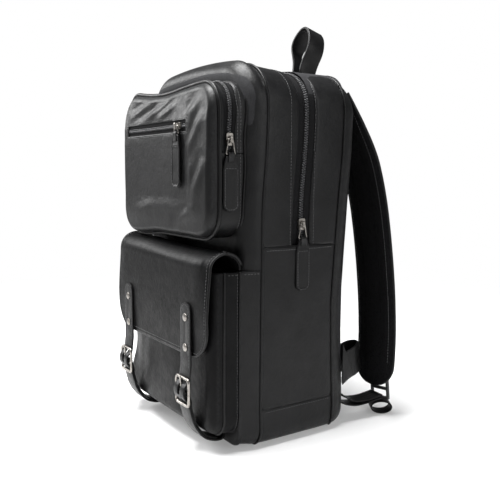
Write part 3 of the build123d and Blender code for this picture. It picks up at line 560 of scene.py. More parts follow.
def between_edges(u, v, bottom, top, left, right):
    """Grids of x and z that fill four edges evenly."""
    u, v = u[:, None, None], v[None, :, None]
    flat = ((1 - v) * bottom[:, None] + v * top[:, None] + (1 - u) * left[None] + u * right[None]
            - (1 - u) * (1 - v) * bottom[0] - u * (1 - v) * bottom[-1]
            - (1 - u) * v * top[0] - u * v * top[-1])
    return flat[..., 0], flat[..., 1]


class Rim:
    """The line round a boxy piece seen from the front, from the middle of its base up its right side."""

    def __init__(self, half, base, top, r_top, r_base, crown=0.01):
        self.half, self.base, self.top = half, base, top
        self.r_top, self.r_base = r_top, r_base
        self.big = (half ** 2 + crown ** 2) / (2 * crown)
        centre = top - self.big
        high = centre + math.sqrt((self.big - r_top) ** 2 - (half - r_top) ** 2)
        end = math.atan2(high - centre, half - r_top)
        low_turn = np.linspace(-math.pi / 2, 0, 40)[1:]
        high_turn = np.linspace(0, end, 40)[1:]
        crown_x = np.linspace(self.big * math.cos(end), 0, 60)[1:]
        x = np.concatenate([np.linspace(0, half - r_base, 50), half - r_base + r_base * np.cos(low_turn),
                            np.full(99, half), half - r_top + r_top * np.cos(high_turn), crown_x])
        z = np.concatenate([np.full(50, base), base + r_base + r_base * np.sin(low_turn),
                            np.linspace(base + r_base, high, 100)[1:], high + r_top * np.sin(high_turn),
                            centre + np.sqrt(self.big ** 2 - crown_x ** 2)])
        x = np.concatenate([x, -x[-2::-1]])
        z = np.concatenate([z, z[-2::-1]])
        line = np.stack([x, z], 1)
        distances = travelled(line)
        self.length = distances[-1]
        self.s = np.linspace(0, self.length, 2400)
        self.x, self.z = sampled(self.s, distances, line).T
        dx, dz = np.gradient(self.x), np.gradient(self.z)
        size = np.hypot(dx, dz)
        self.nx, self.nz = dz / size, -dx / size
        self.low_corner = half - r_base + math.pi / 4 * r_base
        self.wall_foot = half - r_base + math.pi / 2 * r_base
        self.high_corner = self.wall_foot + high - base - r_base + end / 2 * r_top

    def at(self, s, lift=0.0):
        """x and z at s along the line, moved outwards by lift."""
        s = np.mod(s, self.length)
        x, z, nx, nz = (np.interp(s, self.s, values) for values in (self.x, self.z, self.nx, self.nz))
        return x + nx * lift, z + nz * lift

    def side(self, z):
        """How far along the line the right wall reaches height z."""
        return self.wall_foot + z - self.base - self.r_base

    def over(self, z):
        """From height z on the right, over the top, to the same height on the left."""
        return self.side(z), self.length - self.side(z)

    def under(self, z):
        """From height z on the left, under the base, to the same height on the right."""
        return -self.side(z), self.side(z)

    def depth(self, x, z, open_top=False):
        """How far inside the line a point lies."""
        share = np.clip((z - self.base) / (self.top - self.base), 0, 1)
        z = z + share * (self.big - np.sqrt(self.big ** 2 - x ** 2))
        middle = (self.top + self.base) / 2
        r = np.where(z > middle, self.r_top, self.r_base)
        up = np.abs(z - middle) - ((self.top - self.base) / 2 - r)
        if open_top:
            up = np.where(z > middle, -FAR, up)
        out = np.abs(x) - (self.half - r)
        inside = np.minimum(np.maximum(out, up), 0)
        return r - np.hypot(np.maximum(out, 0), np.maximum(up, 0)) - inside

    def filled(self, columns, rows):
        """Grids of x and z that fill the line."""
        u, v = spaced(columns), spaced(rows)
        a, b = self.low_corner, self.high_corner
        bottom = np.stack(self.at(-a + 2 * a * u), 1)
        top = np.stack(self.at(self.length - b + (2 * b - self.length) * u), 1)
        left = np.stack(self.at(self.length - a + (a - b) * v), 1)
        right = np.stack(self.at(a + (b - a) * v), 1)
        return between_edges(u, v, bottom, top, left, right)


def band(rim, s_range, y_range, lift, rows):
    """A strip of leather wrapped round a rim: a grid of points, and each one's distance to its seams."""
    s = np.linspace(*s_range, int((s_range[1] - s_range[0]) / BAND_PACE))[:, None]
    t = spaced(rows)[None, :]
    x, z = rim.at(s)
    y_low, y_high = (limit(x) if callable(limit) else limit + 0 * x for limit in y_range)
    y = y_low + t * (y_high - y_low)
    edge = np.minimum(t, 1 - t) * (y_high - y_low)
    x, z = rim.at(s, lift(placed(x, y, z), edge))
    return placed(x, y, np.maximum(z, 0.2)), edge


def pillow(puff, sink=1.0, uneven=0.5, seed=0):
    """Leather that rises away from its seams and dips into them."""
    def lift(points, edge):
        fullness = 1 - np.exp(-edge / 9)
        return puff * fullness - sink * np.exp(-(edge / 1.5) ** 2) + fullness * slack(points, uneven, seed)
    return lift


def seam_wear(edge):
    """Leather is paler on the ridge beside a seam."""
    return 0.5 * np.exp(-((edge - 1.6) / 1.1) ** 2)


def tube(name, path, radius, look, closed=False, sides=8, soft=True, **rest):
    """A cord of leather or wire along a path."""
    path = np.asarray(path, float)
    if soft:
        path = settled(path)
    count = len(path)
    ahead = unit(np.roll(path, -1, 0) - np.roll(path, 1, 0) if closed else np.gradient(path, axis=0))
    first = np.zeros_like(path)
    carried = np.cross(ahead[0], np.eye(3)[np.argmin(np.abs(ahead[0]))])
    for i in range(count):
        carried = unit(carried - ahead[i] * np.dot(carried, ahead[i]))
        first[i] = carried
    second = np.cross(ahead, first)
    if closed:  # the ends of the frame are turned to meet
        off = math.atan2(np.dot(first[-1], second[0]), np.dot(first[-1], first[0]))
        angle = -off * np.linspace(0, 1, count)[:, None]
        first, second = (np.cos(angle) * first + np.sin(angle) * second,
                         np.cos(angle) * second - np.sin(angle) * first)
    turn = np.linspace(0, 2 * np.pi, sides, endpoint=False)
    points = (path[:, None] + radius * (np.cos(turn)[None, :, None] * first[:, None]
                                        + np.sin(turn)[None, :, None] * second[:, None]))
    return make(name, points, tube_faces(count, sides, closed=closed), look, **rest)


def scatter(name, template, faces, origins, axes, look, **rest):
    """Copies of a small mesh: axes holds each copy's three directions, already scaled."""
    template = np.asarray(template, float)
    points = origins[:, None] + np.einsum("pk,nkc->npc", template, axes)
    shift = np.arange(len(origins)) * len(template)
    everything = [[i + offset for i in face] for offset in shift.tolist() for face in faces]
    return make(name, points, everything, look, **rest)


def capsule(sides=6):
    """A short thread: a rod along X whose ends dip."""
    rings = ((-0.5, 0.3, -0.9), (-0.36, 0.9, -0.15), (0.0, 1.0, 0.12), (0.36, 0.9, -0.15), (0.5, 0.3, -0.9))
    turns = [2 * math.pi * k / sides for k in range(sides)]
    points = [(x, r * math.cos(a), r * math.sin(a) + dip) for x, r, dip in rings for a in turns]
    return points, tube_faces(len(rings), sides, outward=False)


CAPSULE = capsule()


def evenly(path, pitch):
    """Points every pitch along a path."""
    path = np.asarray(path, float)
    distances = travelled(path)
    count = max(2, int(distances[-1] / pitch))
    return sampled((np.arange(count) + 0.5) * distances[-1] / count, distances, path)


def surface_of(piece):
    """A search tree over a piece's surface, in metres."""
    points = [v.co.copy() for v in piece.data.vertices]
    return BVHTree.FromPolygons(points, [tuple(p.vertices) for p in piece.data.polygons])


def on_surface(tree, path, lift=0.0):
    """The path's points moved onto a surface, with the surface's directions."""
    places, normals = [], []
    for point in path:
        place, normal, _, _ = tree.find_nearest(Vector(point * MM))
        places.append(np.array(place) / MM + np.array(normal) * lift)
        normals.append(np.array(normal))
    return np.array(places), np.array(normals)


def stitches(name, host, paths, pitch=3.8, length=2.7, radius=0.36, body="root"):
    """Rows of thread sewn into a piece along paths."""
    tree = surface_of(host)
    origins, axes = [], []
    for path in paths:
        places, normals = on_surface(tree, evenly(path, pitch), 0.12)
        ahead = np.gradient(places, axis=0)
        ahead = unit(ahead - normals * np.sum(ahead * normals, axis=1, keepdims=True))
        across = np.cross(normals, ahead)
        origins.append(places)
        axes.append(np.stack([ahead * length, across * radius, normals * radius], 1))
    return scatter(name, *CAPSULE, np.concatenate(origins), np.concatenate(axes), THREAD, body=body)


def bake(piece):
    """Turns what a piece's modifiers make of it into its mesh."""
    graph = bpy.context.evaluated_depsgraph_get()
    baked = bpy.data.meshes.new_from_object(piece.evaluated_get(graph))
    piece.modifiers.clear()
    piece.data = baked
    return baked


def refined(name, node, look, body, bevel):
    """A CAD piece's shape as leather or cloth, with its edges rounded by bevel millimetres."""
    piece = NODES[node].copy()
    piece.data = NODES[node].data.copy()
    piece.name = name
    piece.data.name = name
    piece.parent = None
    for key in list(piece.keys()):
        del piece[key]
    scene.collection.objects.link(piece)
    for kind, settings in (("WELD", {"merge_threshold": 1e-5}),
                           ("DECIMATE", {"decimate_type": "DISSOLVE", "angle_limit": math.radians(1.5)}),
                           ("BEVEL", {"width": bevel * MM, "segments": 3, "limit_method": "ANGLE",
                                      "angle_limit": math.radians(40), "harden_normals": False})):
        modifier = piece.modifiers.new(kind.lower(), kind)
        for key, value in settings.items():
            setattr(modifier, key, value)
    baked = bake(piece)
    baked.name = name
    baked.materials.clear()
    baked.materials.append(look)
    baked.shade_smooth()
    baked.set_sharp_from_angle(angle=math.radians(50))
    if body:
        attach(piece, body)
    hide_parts(node)
    return piece


def back_at(x, inset=0.0):
    """How far back the bulging back, or a column inset from it, reaches at x."""
    return BACK - BULGE_R + np.sqrt((BULGE_R - inset) ** 2 - x ** 2)


def back_seam(x):
    """How far back the seam between the back and the sides lies at x."""
    return back_at(x, SEAM_INSET)


# ---------------------------------------------------------------- main compartment
body_rim = Rim(HALF, 0.0, TOP, 50.0, 24.0, CROWN)


def body_band(name, s_range, y_range, lift, node, rows=30):
    """A strip of the body's leather, between two lines round it."""
    grid, edge = band(body_rim, s_range, y_range, lift, rows=rows)
    return sheet_piece(name, grid, LEATHER, BODY, outward=-1.0, wear=seam_wear(edge), replaced=[node])


def rim_line(rim, s_range, y, lift):
    """A line round a rim at one depth."""
    s = np.linspace(*s_range, int((s_range[1] - s_range[0]) / LINE_PACE))
    x, z = rim.at(s, lift)
    return placed(x, y(x) if callable(y) else y, z)


over_top = body_rim.over(MID_SEAM)
gusset_front = body_band("gusset_front_leather", over_top, (0.0, ZIP_LOW), pillow(1.0, 1.2, 0.9, 1),
                         "zip_gusset_front")
gusset_back = body_band("gusset_back_leather", over_top, (ZIP_HIGH, back_seam), pillow(1.6, 1.2, 1.1, 2),
                        "zip_gusset_back", rows=36)
low_side, high_side = body_rim.side(BASE_SEAM), body_rim.side(MID_SEAM)
side_ranges = {1: (low_side, high_side), -1: (body_rim.length - high_side, body_rim.length - low_side)}
sides = {side: body_band("side_leather_" + label, side_ranges[side], (0.0, back_seam),
                         pillow(1.8, 1.2, 1.3, seed), "side_panels", rows=46)
         for label, side, seed in (("right", 1, 3), ("left", -1, 4))}
base = body_band("base_leather", body_rim.under(BASE_SEAM), (0.0, back_seam), pillow(1.0, 1.0, 0.6, 5),
                 "base_panel")


def filled_panel(name, rim, height, thick, replaced, columns=110, rows=150, outward=1.0, wear=None,
                 open_top=False, look=BODY):
    """A sheet that fills a rim. height gives its Y from x, z and the distance to the rim."""
    x, z = rim.filled(columns, rows)
    depth = np.maximum(rim.depth(x, z, open_top), 0)
    return sheet_piece(name, placed(x, height(x, z, depth), z), thick, look, outward=outward,
                       replaced=replaced, wear=None if wear is None else wear(depth))


def rounded(depth, radius):
    """How much of a rounded rim's height is reached at a distance from its edge."""
    return np.sqrt(np.clip(1 - (1 - np.clip(depth / radius, 0, 1)) ** 2, 0, 1))


def front_height(x, z, depth):
    """The body's front panel, flat inside its round edge."""
    uneven = slack(placed(x, 0.0, z), 0.5, 6) * rounded(depth, 30)
    return FRONT * rounded(depth, FRONT_RIM) + uneven


def back_height(x, z, depth):
    """The body's back panel, bulging inside its round edge."""
    uneven = slack(placed(x, 0.0, z), 0.8, 7) * rounded(depth, 30)
    return back_seam(x) + (back_at(x) - back_seam(x)) * rounded(depth, BACK_RIM) + uneven


filled_panel("front_leather", body_rim, front_height, LEATHER, ["front_panel"])
filled_panel("back_leather", body_rim, back_height, LEATHER, ["back_panel"], outward=-1.0)



def whole_line(rim, y, lift):
    """A closed line all round a rim, with its ends not doubled."""
    return rim_line(rim, (0.0, rim.length), y, lift)[:-1]


for label, y in (("front", 0.0), ("back", back_seam)):
    tube(f"{label}_seam_piping", np.maximum(whole_line(body_rim, y, 0.3), (-FAR, -FAR, 1.5)), 1.5, TRIM,
         closed=True, replaced=[f"{label}_piping"])

# The leather strip along each side of the main zip is folded under and sewn, and so are the level seams.
stitches("zip_seam_stitches", gusset_front, [rim_line(body_rim, over_top, ZIP_LOW - 4.5, 3)])
stitches("zip_back_stitches", gusset_back, [rim_line(body_rim, over_top, ZIP_HIGH + 4.5, 3)])


def level_line(rim, z, y_low, y_high, side, lift=3.0):
    """A level line along one side wall."""
    y = np.linspace(y_low, y_high, 60)
    x, height = rim.at(rim.side(z) * side, lift)
    return placed(x, y, height)


side_deep = float(back_seam(HALF))
for label, side in (("right", 1), ("left", -1)):
    for seam, z, host in (("mid", MID_SEAM, sides[side]), ("base", BASE_SEAM, base)):
        stitches(f"{seam}_seam_stitches_{label}", host, [level_line(body_rim, z - 4, 5, side_deep - 5, side)])
    for seam, z in (("mid", MID_SEAM), ("base", BASE_SEAM)):
        tube(f"{seam}_seam_welt_{label}", level_line(body_rim, z, 2, side_deep - 1, side, 0.1), 1.0, TRIM)

# ---------------------------------------------------------------- zips


def flat_lift(height):
    """A strip that keeps one height, for band."""
    return lambda points, edge: height + 0 * edge


# One turn of a zip coil, seen from outside: a small rounded bar with a flat foot.
COIL = [(x, y, z if z > 0 else z * 0.3) for x, y, z in CAPSULE[0]], CAPSULE[1]


def coil(name, line, normals, pitch, half, radius, **rest):
    """Two rows of coil turns that mesh along the middle of a zip."""
    line = settled(line)
    distances = travelled(line)
    at = np.arange(pitch, distances[-1] - pitch, pitch / 2)
    place = sampled(at, distances, line)
    out = unit(sampled(at, distances, normals))
    ahead = unit(np.gradient(place, axis=0))
    across = np.cross(out, ahead)
    side = np.where(np.arange(len(at)) % 2 == 0, 1.0, -1.0)[:, None]
    origins = place + across * side * half * 0.42
    lean = across + 0.25 * side * ahead
    axes = np.stack([lean * half * 1.25, ahead * pitch * 0.36, out * radius], 1)
    return scatter(name, *COIL, origins, axes, TEETH, **rest)


def rim_zip(name, rim, end_z, y_mid, y_half, wall, chain_half, pitch, radius, node):
    """The tape and coil of a zip that runs round a rim from end_z, wall deep below the leather's face."""
    grid, _ = band(rim, rim.over(end_z - 6), (y_mid - y_half, y_mid + y_half), flat_lift(-wall - 0.1),
                   rows=14)
    sheet_piece(name + "_zip_cloth", grid, 0.7, TAPE, outward=-1.0, replaced=[node + "_tape"])
    s = np.linspace(*rim.over(end_z + 4), 900)
    x, z = rim.at(s, -wall + 0.5)
    far_x, far_z = rim.at(s, 10)
    coil(name + "_zip_coil", placed(x, y_mid, z), placed(far_x - x, 0.0, far_z - z), pitch, chain_half,
         radius, replaced=[node + "_teeth"])
    x, z = rim.at(s[::2], -wall + 0.15)
    cords = [tube(name + "_zip_cord", placed(x, y, z), 0.45, TAPE, sides=6)
             for y in (y_mid - chain_half - 1.1, y_mid + chain_half + 1.1)]
    join(cords, name + "_zip_cords")


rim_zip("main", body_rim, MID_SEAM, ZIP_Y, ZIP_HIGH - ZIP_Y + 5, LEATHER, 3.0, 3.0, 1.5, "main_zip")

# ---------------------------------------------------------------- upper pocket
pocket_rim = Rim(POCKET_HIGH[0], POCKET_LOW[2], POCKET_HIGH[2], POCKET_CORNER, POCKET_CORNER)
pocket_over = pocket_rim.over(POCKET_END)
pocket_under = pocket_rim.under(POCKET_END)
pocket_root = reach("upper_pocket_strip")[1][1]


def pocket_band(name, s_range, y_range, lift, node, rows=20):
    """A strip of the upper pocket's leather, between two lines round it."""
    grid, edge = band(pocket_rim, s_range, y_range, lift, rows=rows)
    return sheet_piece(name, grid, THIN, BODY, outward=-1.0, wear=seam_wear(edge), replaced=[node])


ZIP_BACK = POCKET_ZIP_Y + POCKET_ZIP_HALF
ZIP_FRONT = POCKET_ZIP_Y - POCKET_ZIP_HALF
pocket_strip = pocket_band("pocket_strip_leather", pocket_over, (ZIP_BACK, pocket_root + 1.5),
                           pillow(0.9, 0.8, 0.4, 11), "upper_pocket_strip")
pocket_gusset = pocket_band("pocket_gusset_leather", pocket_under, (POCKET_SEAM, pocket_root + 1.5),
                            pillow(0.6, 0.9, 1.2, 12), "upper_pocket_gusset", 26)
pocket_band("pocket_rim_leather", pocket_over, (POCKET_SEAM, ZIP_FRONT),
                          pillow(1.6, 0.6, 0.3, 13), "upper_pocket_rim", 14)
rim_zip("pocket", pocket_rim, POCKET_END - 3, POCKET_ZIP_Y, POCKET_ZIP_HALF + 2.5, THIN, 2.5, 2.7, 1.3,
        "upper_pocket_zip")
tube("pocket_seam_piping", whole_line(pocket_rim, POCKET_SEAM - 1.2, 1.2), 2.5, TRIM, closed=True)
tube("pocket_root_piping", whole_line(pocket_rim, pocket_root - 0.5, 1.0), 1.4, TRIM, closed=True)
stitches("pocket_strip_stitches", pocket_strip,
         [rim_line(pocket_rim, pocket_over, ZIP_BACK + 2.6, 3),
          rim_line(pocket_rim, pocket_over, pocket_root - 3.2, 3)])
stitches("pocket_gusset_stitches", pocket_gusset, [rim_line(pocket_rim, pocket_under, pocket_root - 3.2, 3)])


# The pocket front's folds: where each starts and ends, its width and its height.
POCKET_FOLDS = (((98, 424), (6, 366), 9, 3.0), ((62, 430), (-22, 388), 4.5, 1.9),
                ((24, 431), (-70, 386), 9, 3.0), ((-34, 430), (-98, 404), 5, 1.8),
                ((-8, 428), (-36, 400), 4, 1.2), ((104, 404), (50, 340), 8, 2.4),
                ((106, 350), (80, 285), 9, 3.0), ((-104, 424), (-90, 330), 9, 1.8),
                ((102, 292), (30, 266), 9, 2.4), ((70, 350), (50, 275), 12, 1.6),
                ((-20, 300), (-100, 272), 12, 1.8))


def pocket_height(x, z, depth):
    """The padded front: a low dome with soft folds, calm round its slot and under its slot's puller."""
    dome = -3.2 * rounded(depth, 60) * np.exp(-((z - 315) / 55) ** 2)
    folds = 0
    for start, end, width, tall in POCKET_FOLDS:
        folds = folds - crease(x, z, start, end, width, tall)
        folds = folds + crease(x + 5, z - 9, start, end, width * 0.9, 0.8 * tall)
    calm = 1 - np.exp(-depth / 10)
    around_slot = 1 - 0.9 * np.exp(-((z - SLOT_Z) / 14) ** 4) * step(SLOT_HIGH[0] + 14 - x, 0, 12)
    under_puller = 1 - 0.95 * np.exp(-((x - 46) / 18) ** 4) * step(z, 285, 315)
    uneven = slack(placed(x, 0.0, z), 1.3, 14) * calm
    relief = (dome + folds * calm + uneven) * around_slot * under_puller
    below_slot = step(z, 286, 304) * step(78 - x, 0, 14) * step(-z, -386, -372)
    relief = relief + below_slot * (np.maximum(relief, -0.3) - relief)
    tilt = 0.14 * np.maximum(z - 391, 0) * rounded(depth, 10)
    return POCKET_SEAM + (POCKET_LOW[1] - POCKET_SEAM) * rounded(depth, POCKET_RIM) + tilt + relief


pocket_front = filled_panel("pocket_front_leather", pocket_rim, pocket_height, THIN,
                            ["upper_pocket_front"], 190, 150, wear=seam_wear)


def cut_box(piece, low, high):
    """Cuts a box out of a piece, in millimetres."""
    corners = [[(low, high)[i][0], (low, high)[j][1], (low, high)[k][2]]
               for i in (0, 1) for j in (0, 1) for k in (0, 1)]
    faces = [[0, 1, 3, 2], [4, 6, 7, 5], [0, 4, 5, 1], [2, 3, 7, 6], [0, 2, 6, 4], [1, 5, 7, 3]]
    cutter = make("cutter", corners, faces, BODY, body=None)
    modifier = piece.modifiers.new("cut", "BOOLEAN")
    modifier.operation = "DIFFERENCE"
    modifier.solver = "EXACT"
    modifier.object = cutter
    bake(piece)
    bpy.data.objects.remove(cutter)


cut_box(pocket_front, (SLOT_LOW[0], -90, SLOT_Z - SLOT_HALF), (SLOT_HIGH[0], -58, SLOT_Z + SLOT_HALF))


def rectangle(low_x, high_x, low, high, upright=True, level=0.0):
    """A closed rectangle, upright at one Y or flat at one Z."""
    corners = ((low_x, low), (high_x, low), (high_x, high), (low_x, high), (low_x, low))
    return [(a, level, b) if upright else (a, b, level) for a, b in corners]


margin = 2.6
stitches("slot_stitches", pocket_front,
         [rectangle(SLOT_LOW[0] - margin, SLOT_HIGH[0] + margin, SLOT_Z - SLOT_HALF - margin,
                    SLOT_Z + SLOT_HALF + margin, level=-70.0)])
tape_low, tape_high = reach("slot_zip_tape")
tape_x, tape_z = np.meshgrid(np.linspace(tape_low[0], tape_high[0], 60),
                             np.linspace(tape_low[2], tape_high[2], 14), indexing="ij")
sheet_piece("slot_zip_cloth", placed(tape_x, tape_low[1], tape_z), 0.7, TAPE, replaced=["slot_zip_tape"])
slot_line = placed(np.linspace(SLOT_LOW[0], SLOT_HIGH[0], 300), tape_low[1] - 0.5, SLOT_Z)
coil("slot_zip_coil", slot_line, 0 * slot_line + (0.0, -1.0, 0.0), 2.5, 2.2, 1.2, replaced=["slot_zip_teeth"])
for label, offset in (("upper", 3.3), ("lower", -3.3)):
    tube("slot_cord_" + label, slot_line + (0, 0.3, offset), 0.45, TAPE, sides=6)

# ---------------------------------------------------------------- lower pockets
satchel_rim = Rim(SATCHEL_HIGH[0], SATCHEL_LOW[2], OPEN_TOP, 1.0, SATCHEL_CORNER)
slip_rim = Rim(HALF, 1.6, OPEN_TOP, 1.0, 24.0)


def leaning(rise_back, rise_front, y_back, y_front, puff, seed):
    """A side band that leans in towards the front, filled out between its seams."""
    def lift(points, edge):
        share = (points[..., 1] - y_back) / (y_front - y_back)
        return rise_back + (rise_front - rise_back) * share + pillow(puff, 0.9, 0.8, seed)(points, edge)
    return lift


slip_grid, slip_edge = band(slip_rim, slip_rim.under(HEM), (SLIP_SEAM, -1.6),
                            leaning(1.0, -4.0, -1.6, SLIP_SEAM, 0.8, 21), rows=24)
slip = sheet_piece("slip_pocket_leather", slip_grid, THIN, BODY, outward=-1.0, wear=seam_wear(slip_edge),
                   replaced=["slip_pocket"])
gusset_grid, gusset_edge = band(satchel_rim, satchel_rim.under(HEM), (SATCHEL_SEAM, SLIP_SEAM),
                                leaning(1.6, -0.8, SLIP_SEAM, SATCHEL_SEAM, 0.8, 22), rows=24)
satchel_side = sheet_piece("satchel_gusset_leather", gusset_grid, THIN, SHADED_LEATHER, outward=-1.0,
                           wear=seam_wear(gusset_edge), replaced=["satchel_gusset"])


def slip_height(x, z, depth):
    """The slip pocket's flat front, rounded at its edge."""
    return SLIP_SEAM + 4 - 4.2 * rounded(depth, 5)


def satchel_height(x, z, depth):
    """The satchel pocket's front, fuller between its straps and sagging low down."""
    fullness = rounded(depth, 70)
    between_straps = 1 - np.exp(-(np.maximum(np.abs(np.abs(x) - STRAP_X) - 13, 0) / 24) ** 2)
    dome = -4.5 * fullness * between_straps * (np.abs(x) < STRAP_X)
    uneven = slack(placed(x, 0.0, z), 1.2, 23) * rounded(depth, 30) * between_straps
    sag = -1.4 * np.exp(-((z - 45) / 30) ** 2) * fullness * between_straps
    return SATCHEL_SEAM + (SATCHEL_LOW[1] - SATCHEL_SEAM) * rounded(depth, SATCHEL_RIM) + dome + uneven + sag


class OpenRim(Rim):
    """A pocket's outline with square top corners, where its mouth is."""

    def filled(self, columns, rows):
        u, v = spaced(columns), np.linspace(0, 1, rows) ** 1.3
        a = self.low_corner
        bottom = np.stack(self.at(-a + 2 * a * u), 1)
        right = np.stack(self.at(a + (self.side(HEM) - a) * v), 1)
        left = right * (-1, 1)
        top = np.stack([left[-1, 0] + (right[-1, 0] - left[-1, 0]) * u, np.full(columns, HEM)], 1)
        return between_edges(u, v, bottom, top, left, right)


slip_front_rim = OpenRim(HALF - 3.4, 2.2, OPEN_TOP, 1.0, 22.0)
filled_panel("slip_pocket_front", slip_front_rim, slip_height, THIN, [], 90, 90, open_top=True)
satchel_front_rim = OpenRim(SATCHEL_HIGH[0], SATCHEL_LOW[2], OPEN_TOP, 1.0, SATCHEL_CORNER)
satchel_front = filled_panel("satchel_front_leather", satchel_front_rim, satchel_height, THIN,
                             ["satchel_front"], 150, 120, wear=seam_wear, open_top=True, look=SHADED_LEATHER)
tube("satchel_front_piping", rim_line(satchel_rim, satchel_rim.under(HEM), SATCHEL_SEAM - 0.2, 0.6), 1.3,
     TRIM)
tube("satchel_back_piping", rim_line(satchel_rim, satchel_rim.under(HEM), SLIP_SEAM, 2.0), 1.1, TRIM)
stitches("satchel_gusset_stitches", satchel_side,
         [rim_line(satchel_rim, satchel_rim.under(HEM - 2), SLIP_SEAM - 3.2, 4)])
for label, side in (("right", 1), ("left", -1)):
    stitches("hem_stitches_" + label, slip, [level_line(slip_rim, HEM - 4, SLIP_SEAM + 3, -4, side)])
    stitches("gusset_hem_stitches_" + label, satchel_side,
             [level_line(satchel_rim, HEM - 4, SATCHEL_SEAM + 3, SLIP_SEAM - 3, side)])
hem_x = np.linspace(-SATCHEL_HIGH[0] + 8, SATCHEL_HIGH[0] - 8, 80)
stitches("satchel_mouth_stitches", satchel_front, [placed(hem_x, -72.0, HEM - 4)])

# ---------------------------------------------------------------- flap
ARCH_Y, ARCH_Z = -51.2, 221.0  # the flap's fold, seen from the side
ARCH_DEEP, ARCH_TALL = 23.6, 20.8
FOLD_ROWS = 40
FLAP_CORNER = 36.0


def flap_line():
    """The flap seen from the side, from its sewn edge over its fold and down to its hem."""
    turn = np.linspace(0, math.pi, FOLD_ROWS)
    y = ARCH_Y + ARCH_DEEP * np.cos(turn)
    z = ARCH_Z + ARCH_TALL * np.sin(turn) ** 0.9
    down = np.linspace(0, 1, 46)[1:]
    front_z = ARCH_Z + (FLAP_LOW[2] - ARCH_Z) * down
    front_y = ARCH_Y - ARCH_DEEP - 1.0 * np.sin(math.pi * np.minimum(down * 1.1, 1)) + 0.4 * down
    return np.concatenate([y, front_y]), np.concatenate([z, front_z])


def flap_grid(columns=110):
    """The flap's outer face: round lower corners, side edges that curl back and a lifted far end."""
    y, z = flap_line()
    over_hem = np.maximum(z - FLAP_LOW[2], 0)
    on_front = np.arange(len(z)) > FOLD_ROWS + 20
    below_corner = np.maximum(FLAP_CORNER - over_hem, 0) * on_front
    half = FLAP_HIGH[0] - FLAP_CORNER + np.sqrt(FLAP_CORNER ** 2 - below_corner ** 2)
    u = 2 * spaced(columns) - 1
    x = half[None, :] * u[:, None]
    x = np.where(x < 0, x * 0.968, x)
    past = np.clip((np.abs(x) - 96) / 29, 0, 1)
    rise = np.clip((z - 150) / 70, 0.25, 1)[None, :]
    curl = 5.0 * past ** 2 * rise * (on_front | (y < ARCH_Y))[None, :]
    raised = 6.0 * step(-x, -80, 95) * step(z, 200, 240)[None, :]
    points = np.stack([x, y[None, :] + curl, z[None, :] + raised], 2)
    bulge = slack(points, 0.7, 31) * (1 - past)
    dip = -0.9 * np.exp(-((z[None, :] - 229) / 7) ** 2) * (np.abs(x) < 112) * soft_noise(points, 40, 33)
    return points - grid_normals(points) * (bulge + dip)[..., None]


flap_outer = flap_grid()
flap_leather = sheet_piece("flap_leather", flap_outer, 2.6, SHADED_LEATHER, outward=-1.0, soft=False,
                           body=None, replaced=["flap", "flap_anchor"])


def flap_edge(inset, first):
    """A line on the flap's face, inset from its edges, down one side, along the hem and up the other."""
    side = flap_outer[:, FOLD_ROWS]
    column = int(np.argmin(np.abs(side[:, 0] - (side[-1, 0] - inset))))
    row = int(np.argmin(np.abs(flap_outer[len(side) // 2, :, 2] - (FLAP_LOW[2] + inset))))
    row = flap_outer.shape[1] - 1 if inset < 1 else row
    other = len(side) - 1 - column
    return np.concatenate([flap_outer[column, first:row], flap_outer[column:other:-1, row],
                           flap_outer[other, row:first:-1]])


flap_stitches = stitches("flap_stitches", flap_leather, [flap_edge(4.2, 12)], body=None)
edge_path = evenly(flap_edge(0.2, 2), 2.5) + (0, 0.9, 0)
flap_binding = tube("flap_edge_roll", edge_path, 1.6, TRIM, soft=False, body=None)
for piece in (flap_leather, flap_stitches, flap_binding):
    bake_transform(piece)

# ---------------------------------------------------------------- buckle straps
for label, side in (("left", -1), ("right", 1)):
    strap = refined(f"buckle_strap_leather_{label}", f"buckle_strap_{label}", TRIM, "flap_assembly", 0.6)
    inset = STRAP_HALF - 2.6
    rows = [[(side * STRAP_X + edge * inset, -84, z) for z in np.linspace(104, 168, 30)] for edge in (-1, 1)]
    rows.append([(side * STRAP_X + inset * math.cos(a), -84, 169.0 + inset * math.sin(a))
                 for a in np.linspace(0, math.pi, 16)])
    stitches(f"buckle_strap_stitches_{label}", strap, rows, 3.4, 2.4, 0.3, body="flap_assembly")
refined("anchor_strap_leather", "anchor_straps", TRIM, "flap_assembly", 0.4)


def turned(name, profile, places, look, sides=28, **rest):
    """Round pieces turned about an axis along -Y: profile holds (radius, height) pairs."""
    turns = [2 * math.pi * k / sides for k in range(sides)]
    points, faces = [], []
    for x, y, z in places:
        faces += tube_faces(len(profile), sides, len(points), outward=False)
        points += [(x + r * math.cos(a), y - h, z + r * math.sin(a)) for r, h in profile for a in turns]
    return make(name, points, faces, look, **rest)


RIVET_PROFILE = ((1.4, -5.6), (1.4, -4.8), (3.6, -4.7), (3.7, -4.0), (1.4, -3.8), (1.4, 0.0), (4.7, 0.0),
                 (4.9, 0.35), (4.75, 0.8), (4.2, 1.15), (3.9, 1.05), (3.4, 1.35), (2.2, 1.75), (0.6, 1.9))
rivets = [(x, FLAP_LOW[1] - 2.2, z) for x in (-STRAP_X, STRAP_X) for z in (127.0, 163.5)]
turned("domed_rivets", RIVET_PROFILE, rivets, METAL, body="flap_assembly", replaced=["flap_rivets"])

# ---------------------------------------------------------------- zip pullers


PULLER_HALF, PULLER_NECK, PULLER_LONG, PULLER_FOOT = 10.5, 6.6, 62.0, 10.0
EYE_HALF, EYE_RADIUS, EYE_DROP = 3.9, 2.05, 2.3
UP = np.array([0.0, 0.0, 1.0])


